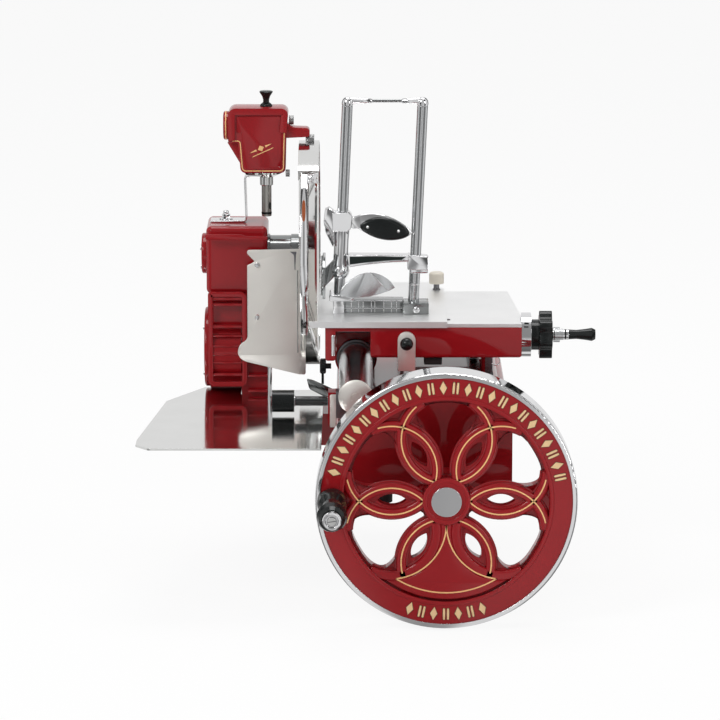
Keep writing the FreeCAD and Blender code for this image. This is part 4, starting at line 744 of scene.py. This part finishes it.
for x, rod_top in rods:
    lathe(((0, 0.23), (rod_reach, 0.23), (rod_reach, rod_top - 0.0012),
        (rod_reach - 0.0006, rod_top - 0.0004), (rod_reach - 0.0006, rod_top), (0, rod_top)),
        (x, press_y, 0))
turned(press_lean, "Y", about=lean_centre)
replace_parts(piece("press_rods", satin_chrome, "product_plate", "chrome"), "press_frame")
for x, rod_top in rods:
    lathe(((0, rod_top), (rod_reach, rod_top), (rod_reach + 0.0006, rod_top + 0.003),
        (0.0074, rod_top + 0.0075), (0.0052, rod_top + 0.0105), (0.0028, rod_top + 0.0118),
        (0, rod_top + 0.012)), (x, press_y, 0))
turned(press_lean, "Y", about=lean_centre)
bar_z, left, right = 0.5445, -0.1078, -0.0008
lathe(((0, left), (0.0056, left), (0.0044, left + 0.022), (0.0034, left + 0.034), (0.0019, left + 0.036),
    (0.0019, right - 0.03), (0.0034, right - 0.028), (0.0044, right - 0.014), (0.0056, right),
    (0, right)), (0, press_y, bar_z), "X")
piece("press_top_bar", chrome, "product_plate", "chrome")
# The bar's waist and the thin rings where it meets the rods use the dark grey chrome copy: painted dark
# reflection.
lathe(((0, left + 0.036), (0.0023, left + 0.036), (0.0023, right - 0.03), (0, right - 0.03)),
    (0, press_y, bar_z), "X")
for x, rod_top in rods:
    shift = (rod_top - lean_centre[2]) * math.sin(math.radians(press_lean))
    lathe(((0.006, -0.0005), (rod_reach + 0.0002, -0.0005), (rod_reach + 0.0002, 0.0005),
        (0.006, 0.0005)), (x + shift, press_y, 0.5396))
piece("press_bar_middle", painted_shade_and_reflection_chrome, "product_plate", "chrome")
lathe(((0.003, -0.002), (0.0079, -0.002), (0.0079, 0.002), (0.003, 0.002)), (-0.0115, press_y, 0.2775))
slab(((-0.1345, 0.2555, 0.002), (-0.099, 0.2555, 0.002), (-0.099, 0.265, 0.003),
    (-0.1345, 0.265, 0.003)), -0.0135, 0.03)
bar(-0.129, -0.113, 0.2363, 0.256, -0.006, 0.028)
lathe(((0, -0.014), (0.0042, -0.014), (0.0048, -0.013), (0.0048, -0.0115), (0, -0.0115)),
    (-0.0085, 0, 0.243), "Y")
piece("press_feet", chrome, "product_plate", "chrome", 0.0014, 3)

# The rail between the feet: a polished bar, coloured dark grey to paint the dark reflection it shows,
# crossed by bright ribs of uneven pitch.
slab(((-0.114, 0.2363), (-0.027, 0.2363), (-0.027, 0.2545), (-0.114, 0.2555)), 0.002, 0.03)
slab(((-0.0276, 0.2363), (0.0094, 0.2363), (0.0094, 0.2526, 0.002), (-0.0276, 0.2526, 0.002)), -0.011,
    0.028)
piece("press_rail", painted_shade_and_reflection_chrome, "product_plate", "chrome", 0.0012)
for x in (-0.103, -0.0925, -0.086, -0.074, -0.069, -0.056, -0.045, -0.0375):
    bar(x, x + 0.001, 0.2368, 0.2548, 0.001, 0.003)
for z in (0.2425, 0.2535):
    bar(-0.112, -0.029, z, z + 0.0011, 0.001, 0.003)
piece("press_rail_ribs", chrome, "product_plate", "chrome")

# The hub is a lump of facets round the rod; the sleeve below it flares into a foot.
for near, far in ((press_y - 0.014, -0.0028), (0.0048, press_y + 0.014)):
    slab(((-0.13, 0.383), (-0.106, 0.3845, 0.003), (-0.101, 0.378, 0.003), (-0.103, 0.36, 0.002),
        (-0.109, 0.356, 0.001), (-0.13, 0.356)), near, far)
slab(((-0.1405, 0.3865), (-0.134, 0.3895), (-0.127, 0.384), (-0.1265, 0.34), (-0.129, 0.333),
    (-0.1395, 0.353), (-0.1425, 0.368)), press_y - 0.011, press_y + 0.012)
for vert in bm.verts:
    if vert.co.y < press_y and vert.co.x < -0.1245:
        vert.co.y += (-0.1245 - vert.co.x) * 0.45
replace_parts(piece("press_hub", chrome, "press", "chrome", 0.004, 1), "press_slide")
lathe(((0.0074, 0.359), (0.0112, 0.359), (0.0106, 0.34), (0.0106, 0.308), (0.0118, 0.301),
    (0.0138, 0.295), (0.0124, 0.289), (0.0092, 0.284), (0.0074, 0.284), (0.0074, 0.359)),
    (rods[0][0], press_y, 0), steps=10)
turned(press_lean, "Y", about=lean_centre)
piece("press_sleeve", chrome, "press", "chrome", 0.0006)
arm_top, arm_low, arm_steps = 0.3218, 0.3035, 8
underside = [(-0.0193 - 0.087 * t, 0.3115 - (0.3115 - arm_low) * t ** 1.8)
    for t in (number / arm_steps for number in range(arm_steps + 1))]
slab([(-0.11, arm_top), (-0.0193, arm_top - 0.0008)] + underside, press_y - 0.012, press_y + 0.011)
piece("press_arm", chrome, "press", "chrome", 0.0014, 3)
# The hollow is not sunk: a thin, nearly black sheet on the arm's front paints the shade in it.
slab([(-0.105, arm_top - 0.0022), (-0.023, arm_top - 0.0026)]
    + [(x, z + 0.0034 - (x + 0.0193) * 0.004) for x, z in underside[:-1] if x < -0.023]
    + [(-0.105, arm_low + 0.0042)], press_y - 0.0124, press_y - 0.01)
piece("press_arm_hollow_shade", painted_shade_chrome, "press", "chrome", 0.0003, 1)
slab(((-0.0215, 0.3, 0.002), (0.009, 0.2985, 0.002), (0.0092, 0.3185, 0.003), (-0.0215, 0.3215, 0.002)),
    press_y - 0.014, press_y + 0.013)
bar(-0.017, 0.008, 0.294, 0.3, press_y - 0.009, press_y + 0.009)
for vert in bm.verts:
    if vert.co.y < press_y - 0.01:
        vert.co.y += (vert.co.z - 0.298) * 0.2 + (vert.co.x + 0.02) * 0.12
piece("press_arm_block", chrome, "press", "chrome", 0.0011)

# The spiked plate hangs on the left of the sleeve, its rows of teeth towards the blade.
# Plate and teeth use the dark grey chrome copy: painted shade and dark reflection.
slab(((press_y - 0.044, 0.28, 0.006), (press_y - 0.03, 0.26, 0.004), (press_y + 0.05, 0.26, 0.006),
    (press_y + 0.05, 0.315, 0.008), (press_y - 0.025, 0.321, 0.01), (press_y - 0.044, 0.305, 0.006)),
    -0.144, -0.14, "X")
for row in range(5):
    for column in range(8):
        spot = Matrix.Translation((-0.1454, press_y - 0.034 + 0.011 * column, 0.268 + 0.0105 * row))
        bmesh.ops.create_cone(bm, cap_ends=True, segments=8, radius1=0.002, radius2=0.0002, depth=0.0032,
            matrix=spot @ Matrix.Rotation(-math.pi / 2, 4, "Y"))
slab(((-0.14, 0.3), (-0.126, 0.315), (-0.126, 0.29), (-0.14, 0.275)), press_y - 0.006, press_y + 0.006)
piece("press_spikes", painted_shade_and_reflection_chrome, "press", "chrome", 0.0006)

# The lever is a chromed bow round two black scales, each held by two domed rivets.
slab(lens_corners((-0.106, 0.372), (-0.0135, 0.3535), 0.0185, 0.0165, 14, 0.7), -0.002, 0.004)
slab(((-0.108, 0.364), (-0.1, 0.36), (-0.088, 0.36), (-0.088, 0.38), (-0.103, 0.3775)), -0.0018, 0.0038)
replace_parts(piece("press_bow", chrome, "press_lever", "chrome", 0.0018, 3), "press_lever")
slab(lens_corners((-0.0915, 0.3645), (-0.0172, 0.354), 0.018, 0.0145, 14, 0.62), -0.0105, 0.006)
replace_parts(piece("press_scales", black_plastic, "press_lever", "black_grip", 0.0042, 5, 60),
    "press_grip")
for x, z in ((-0.0791, 0.364), (-0.0346, 0.358)):
    lathe(((0, -0.0118), (0.0013, -0.0116), (0.0022, -0.0106), (0.0022, -0.009), (0, -0.009)), (x, 0, z),
        "Y", 20)
piece("press_rivets", chrome, "press_lever", "chrome")

# The lock lever is a shell of chromed iron on a short pin; a crease parts its finger end.
slab(lens_corners((-0.1215, 0.2675), (-0.0397, 0.276), 0.0265, 0.008, 14, 0.7), -0.0225, -0.0135)
cut((-0.09, 0, 0.28), (0.92, 0, -0.38))
for vert in bm.verts:
    if vert.co.y < -0.018:
        beside = (vert.co.x + 0.09) - (vert.co.z - 0.28) * 0.41
        vert.co.y += (vert.co.z - 0.264) * 0.22 + (beside * 0.17 if beside > 0 else -beside * 0.06)
lathe(((0, -0.015), (0.0032, -0.015), (0.0032, -0.004), (0, -0.004)), (-0.1153, 0, 0.2663), "Y", 24)
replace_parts(piece("press_lock_shell", satin_chrome, "press_lock", "chrome", 0.0009), "press_lock_lever")

# ---------- the chain case
# The case is one red casting: a plain head and, below it, a barrel whose sunk front is crossed by
# cast ribs inside a rounded frame. A polished tube, coloured dark grey to paint the dark reflection it
# shows, carries the blade spindle out to the right.
case_front = 0.085
blade_centre = (-0.17, 0.15, 0.297)
rib_left, rib_right = -0.308, -0.263

outline_strip(((-0.3135, 0.25, 0.004), (-0.2565, 0.25, 0.01), (-0.2565, 0.1085, 0.01),
    (-0.3135, 0.1085, 0.01)), case_front + 0.0085, 0.007, 0.008)
piece("case_frame", red_enamel, "frame", "red_enamel", 0.0022, 3)
for z, tall in ((0.24, 0.005), (0.231, 0.004), (0.198, 0.004), (0.184, 0.003), (0.169, 0.003),
                (0.156, 0.003), (0.144, 0.003), (0.126, 0.004)):
    bar(rib_left, rib_right, z - tall / 2, z + tall / 2, case_front + 0.0025, case_front + 0.012)
piece("case_ribs", red_enamel, "frame", "red_enamel", 0.0012)
slab(((-0.3165, 0.3285, 0.002), (-0.2255, 0.3285, 0.002), (-0.2255, 0.3335, 0.001),
    (-0.256, 0.3335, 0.002), (-0.264, 0.337, 0.002), (-0.3165, 0.337, 0.002)), 0.0828, 0.085)
for z in (0.124, 0.101):
    bar(-0.255, -0.2262, z - 0.0015, z + 0.0015, case_front + 0.003, case_front + 0.01)
piece("case_steps", red_enamel, "frame", "red_enamel", 0.0009)
lathe(((0.013, -0.226), (0.029, -0.226), (0.029, -0.2235), (0.0268, -0.2225), (0.0268, -0.1925),
    (0.0285, -0.1915), (0.0285, -0.18), (0.027, -0.1792), (0.013, -0.1792)), (0, *blade_centre[1:]), "X",
    64)
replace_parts(piece("spindle_tube", painted_shade_and_reflection_chrome, "frame", "red_enamel"), "spindle_housing")

# ---------- the blade's guard
# A polished hoop runs on round the front of the blade from the guard, with an amber mark let into it
# and a spring clip where the two join.
left, right, inside, outside = -0.1765, -0.1658, 0.1612, 0.165
corners = [bm.verts.new((x, blade_centre[1] - reach, blade_centre[2]))
    for x, reach in ((left, inside), (left, outside), (right, outside), (right, inside))]
section = [bm.edges.new(pair) for pair in zip(corners, corners[1:] + corners[:1])]
bmesh.ops.spin(bm, geom=corners + section, cent=blade_centre, axis=(1, 0, 0), angle=math.radians(-90),
    steps=60)
turned(36, "X", about=blade_centre)
piece("guard_hoop", chrome, "frame", "bright_steel", 0.0008)
amber = finish_of("amber", enamel_skin, (0.3, 0.06, 0.006), 0.35, Coat_Weight=0.5)
slab(lens_corners((-0.0172, 0.0), (0.0172, 0.0), 0.0027, 0.0027, 16, 0.3), -0.0154, -0.0145)
turned(90, "Y")
moved(bm.verts, (-0.1712, 0, 0.297))
turned(-32, "X", about=blade_centre)
piece("guard_mark", amber, "frame", "bronze")
slab(((-0.1668, 0.4195, 0.001), (-0.1512, 0.4195, 0.001), (-0.1512, 0.4225), (-0.154, 0.426, 0.002),
    (-0.1512, 0.43, 0.002), (-0.1512, 0.4337, 0.001), (-0.1668, 0.4315, 0.001)), 0.04, 0.056)
lathe(((0, 0.037), (0.003, 0.0372), (0.0044, 0.0385), (0.0044, 0.0405), (0, 0.0405)),
    (-0.161, 0, 0.4265), "Y", 24)
piece("guard_clip", chrome, "frame", "bright_steel", 0.0008)

# ---------- the deflector
# One sheet of sanded steel turns the slices down to the tray: notched and lobed on the left, folded
# back along the blade, its foot bent out, held by two pins.
sanded_steel = metal("sanded_steel", (0.93, 0.9, 0.85), 0.42, 0.0004, 0.12, 4e-6, 0.85)
fold_x, crease_z, sheet = -0.1815, 0.1563, 0.0016
deflector_outline = ((-0.2555, 0.3134, 0.003), (-0.2555, 0.308, 0.001), (-0.2446, 0.2965, 0.001),
    (-0.249, 0.2935), (-0.2555, 0.2905, 0.002), (-0.2555, 0.179, 0.006), (-0.2655, 0.1735, 0.004),
    (-0.2704, 0.164, 0.005), (-0.269, 0.153, 0.006), (-0.2594, 0.1472, 0.004), (-0.1785, 0.1284, 0.001),
    (-0.17, 0.1272, 0.003), (-0.17, 0.3149, 0.001))
slab(deflector_outline, 0.085, 0.085 + sheet)
cut((fold_x, 0, 0), (1, 0, 0))
cut((0, 0, crease_z), (0, 0, 1))
for vert in bm.verts:
    vert.co.y += max(0, vert.co.x - fold_x) * 0.55 - max(0, crease_z - vert.co.z) * 0.3
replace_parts(piece("deflector_sheet", sanded_steel, "deflector", "bright_steel", 0.0004),
    "slice_deflector")
for x, z, reach in ((-0.2408, 0.2914, 0.0038), (-0.2412, 0.213, 0.0034)):
    lathe(((0, 0.0812), (reach * 0.8, 0.0815), (reach, 0.0826), (reach, 0.0853), (0, 0.0853)), (x, 0, z),
        "Y", 24)
piece("deflector_pins", satin_chrome, "deflector", "bright_steel")
# Thin dark strips laid along the folds paint the shade in the bends of the sheet.
for x, low, high in ((fold_x, 0.16, 0.283), (-0.1762, 0.162, 0.311), (-0.1712, 0.162, 0.313)):
    deep = 0.085 + max(0, x - fold_x) * 0.55
    bar(x - 0.0006, x + 0.0006, low, high, deep - 0.0005, deep + 0.0005)
piece("deflector_fold_shade_lines", painted_shade_and_reflection_chrome, "deflector", "bright_steel")
slab(((-0.1926, 0.3108), (-0.183, 0.3108), (-0.1838, 0.306), (-0.1849, 0.2836), (-0.1858, 0.2836),
    (-0.1866, 0.306, 0.002)), 0.0847, 0.0854)
piece("deflector_funnel", oiled_steel, "deflector", "dark_steel")

# ---------- the tray's clamp
# A black knob turns on a plated rod under the blade, in a lug with a plated face; beside it a flat
# link with its own small knob steadies the guard, and a plated strip edges the foot of the case.
clamp_y, clamp_z = -0.04, 0.1146
lathe(((0.004, -0.187), (0.0082, -0.187), (0.0082, -0.184), (0.007, -0.1832), (0.007, -0.133),
    (0.004, -0.133)), (0, clamp_y, clamp_z), "X")
piece("clamp_rod", satin_chrome, "clamp", "dark_steel")
slab(((-0.1335, 0.079, 0.002), (-0.117, 0.079), (-0.117, 0.1275), (-0.1335, 0.1275, 0.003)), -0.0552,
    -0.0538)
piece("lug_face", sanded_steel, "frame", "bright_steel", 0.0004)
# The link uses the dark grey chrome copy: painted dark reflection.
slab(((-0.1678, 0.1345, 0.002), (-0.1585, 0.1325, 0.003), (-0.123, 0.116, 0.001), (-0.123, 0.098, 0.001),
    (-0.164, 0.1195, 0.003)), 0.018, 0.0225)
piece("guard_link", painted_shade_and_reflection_chrome, "frame", "bright_steel", 0.0008)
lathe(((0, -0.1485), (0.0095, -0.1485), (0.0112, -0.147), (0.0112, -0.141), (0.0095, -0.1395),
    (0.004, -0.1395), (0.004, -0.132), (0, -0.132)), (0, 0.02, 0.1535), "X", 24)
bar(-0.1462, -0.1425, 0.127, 0.154, 0.0185, 0.0215)
piece("guard_link_knob", black_plastic, "frame", "black_grip")
slab(((-0.226, 0.148), (-0.22, 0.156, 0.003), (-0.2165, 0.156), (-0.2195, 0.148, 0.003),
    (-0.2205, 0.079), (-0.226, 0.079)), 0.086, 0.096)
piece("case_edge_strip", chrome, "frame", "bright_steel", 0.0005)

# ---------- the carriage
# The casting is a shallow red box with a cheek on the left. Its far right corner is cut to the shape
# of the plate; the cheek frames an oval plated boss, and a black wiper closes the saddle on the bar, with
# a dark plate above it that paints the shade inside the saddle.
corner_x, corner_y = 0.1417, 0.02
bm.from_mesh(nodes["carriage_casting"].data)
bmesh.ops.remove_doubles(bm, verts=bm.verts, dist=1e-5)
cut((corner_x, corner_y, 0), (0.167, 0.0121, 0), clear=True)
bmesh.ops.holes_fill(bm, edges=[e for e in bm.edges if e.is_boundary], sides=0)
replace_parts(piece("carriage_body", red_enamel, "carriage", "red_enamel", 0.003, 3), "carriage_casting")
bar(-0.1312, -0.1256, 0.185, 0.2165, -0.0625, -0.059, corner=0.0024)
piece("cheek_boss", chrome, "carriage", "bright_steel", 0.0012, 3)
bar_x, bar_z = -0.096, 0.151
lathe(((0.025, 0.085), (0.0285, 0.085), (0.0285, 0.0895), (0.025, 0.0895), (0.025, 0.085)),
    (bar_x, 0, bar_z), "Y", 64)
# A dark plate above the bar paints the shade inside the saddle.
bar(-0.1235, -0.0685, 0.19, 0.2205, 0.085, 0.0895)
piece("saddle_wiper_and_shade", oiled_steel, "carriage", "black_rubber", 0.0006, 1)
lathe(((0, -0.1838), (0.006, -0.1836), (0.0064, -0.1826), (0.007, -0.1836), (0.0215, -0.183),
    (0.0243, -0.1815), (0.0247, -0.179), (0, -0.179)), (bar_x, 0, bar_z), "Y", 64)
piece("bar_end_cap", sanded_steel, "frame", "chrome")

# The strap in front is a flat bar with a round head, held by a black ball-headed screw.
strap_x, strap_top, strap_low, strap_half = -0.0232, 0.2215, 0.164, 0.0128
slab(((strap_x - strap_half, strap_low), (strap_x + strap_half, strap_low),
    (strap_x + strap_half, strap_top, 0.0127), (strap_x - strap_half, strap_top, 0.0127)), -0.0655,
    -0.0602)
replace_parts(piece("strap_bar", sanded_steel, "carriage", "chrome", 0.0008), "front_strap")
bmesh.ops.create_uvsphere(bm, u_segments=32, v_segments=20, radius=0.0094,
    matrix=Matrix.Translation((strap_x, -0.0715, 0.205)))
lathe(((0, -0.07), (0.007, -0.07), (0.007, -0.065), (0, -0.065)), (strap_x, 0, 0.205), "Y")
piece("strap_screw", black_plastic, "carriage", "dark_steel", crease=60)

# Under the carriage: a black block and a plated ring latch.
bar(0.002, 0.028, 0.17, 0.183, -0.05, -0.03)
piece("carriage_block", black_rubber, "carriage", "black_rubber", 0.0015)
lathe(((0.0058, -0.0014), (0.0072, -0.0014), (0.0072, 0.0014), (0.0058, 0.0014), (0.0058, -0.0014)),
    (0.105, -0.05, 0.176), "Y", 40)
piece("latch_ring", chrome, "latch", "dark_steel", 0.0006)

# ---------- plates and feed
# The plates are sanded steel. At the right a plated collar with a small black mark on it carries the
# black star wheel, and outside it the small crank's plated stub.
ground_plate = metal("ground_plate", (0.95, 0.95, 0.95), 0.38, 0.0005, 0.1, 3e-6, 0.85)
dress(ground_plate, "table_plate", "product_plate")
dress(satin_chrome, "guide_bar", "feed_crank")
peg_low, peg_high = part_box("plate_peg")
lathe(((0.002, peg_low.z), (0.0056, peg_low.z), (0.0056, peg_low.z + 0.0015),
    (0.0042, peg_low.z + 0.0025), (0.0042, peg_low.z + 0.0095), (0.002, peg_low.z + 0.0095)),
    ((peg_low.x + peg_high.x) / 2, (peg_low.y + peg_high.y) / 2, 0))
piece("peg_stem", oiled_steel, "product_plate", "dark_steel")
star_y, star_z, lobes, points = -0.028, 0.21, 7, 84
turns = [2 * math.pi * number / points for number in range(points)]
reaches = [0.0318 + 0.0032 * math.cos(lobes * (turn - math.pi / 2)) for turn in turns]
slab([(star_y + reach * math.cos(turn), star_z + reach * math.sin(turn))
    for turn, reach in zip(turns, reaches)], 0.168, 0.1865, "X")
lathe(((0, 0.1562), (0.0222, 0.1562), (0.0222, 0.169), (0, 0.169)), (0, star_y, star_z), "X", 48)
lathe(((0, 0.186), (0.012, 0.186), (0.0112, 0.188), (0, 0.1882)), (0, star_y, star_z), "X", 48)
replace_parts(piece("star_wheel", black_plastic, "thickness_knob", "black_grip", 0.0042, 5, 50),
    "thickness_knob")
bar(0.1455, 0.152, 0.2318, 0.2342, -0.0613, -0.059)
piece("collar_mark", black_plastic, "carriage", "black_grip")
stub_y, stub_z = -0.0671, 0.2183
lathe(((0.003, 0.1888), (0.007, 0.1888), (0.007, 0.193), (0.006, 0.1938), (0.006, 0.1985),
    (0.0074, 0.1993), (0.0074, 0.2085), (0.0064, 0.2095), (0.003, 0.2095)), (0, stub_y, stub_z), "X", 32)
piece("crank_stub", chrome, "feed_screw", "chrome")
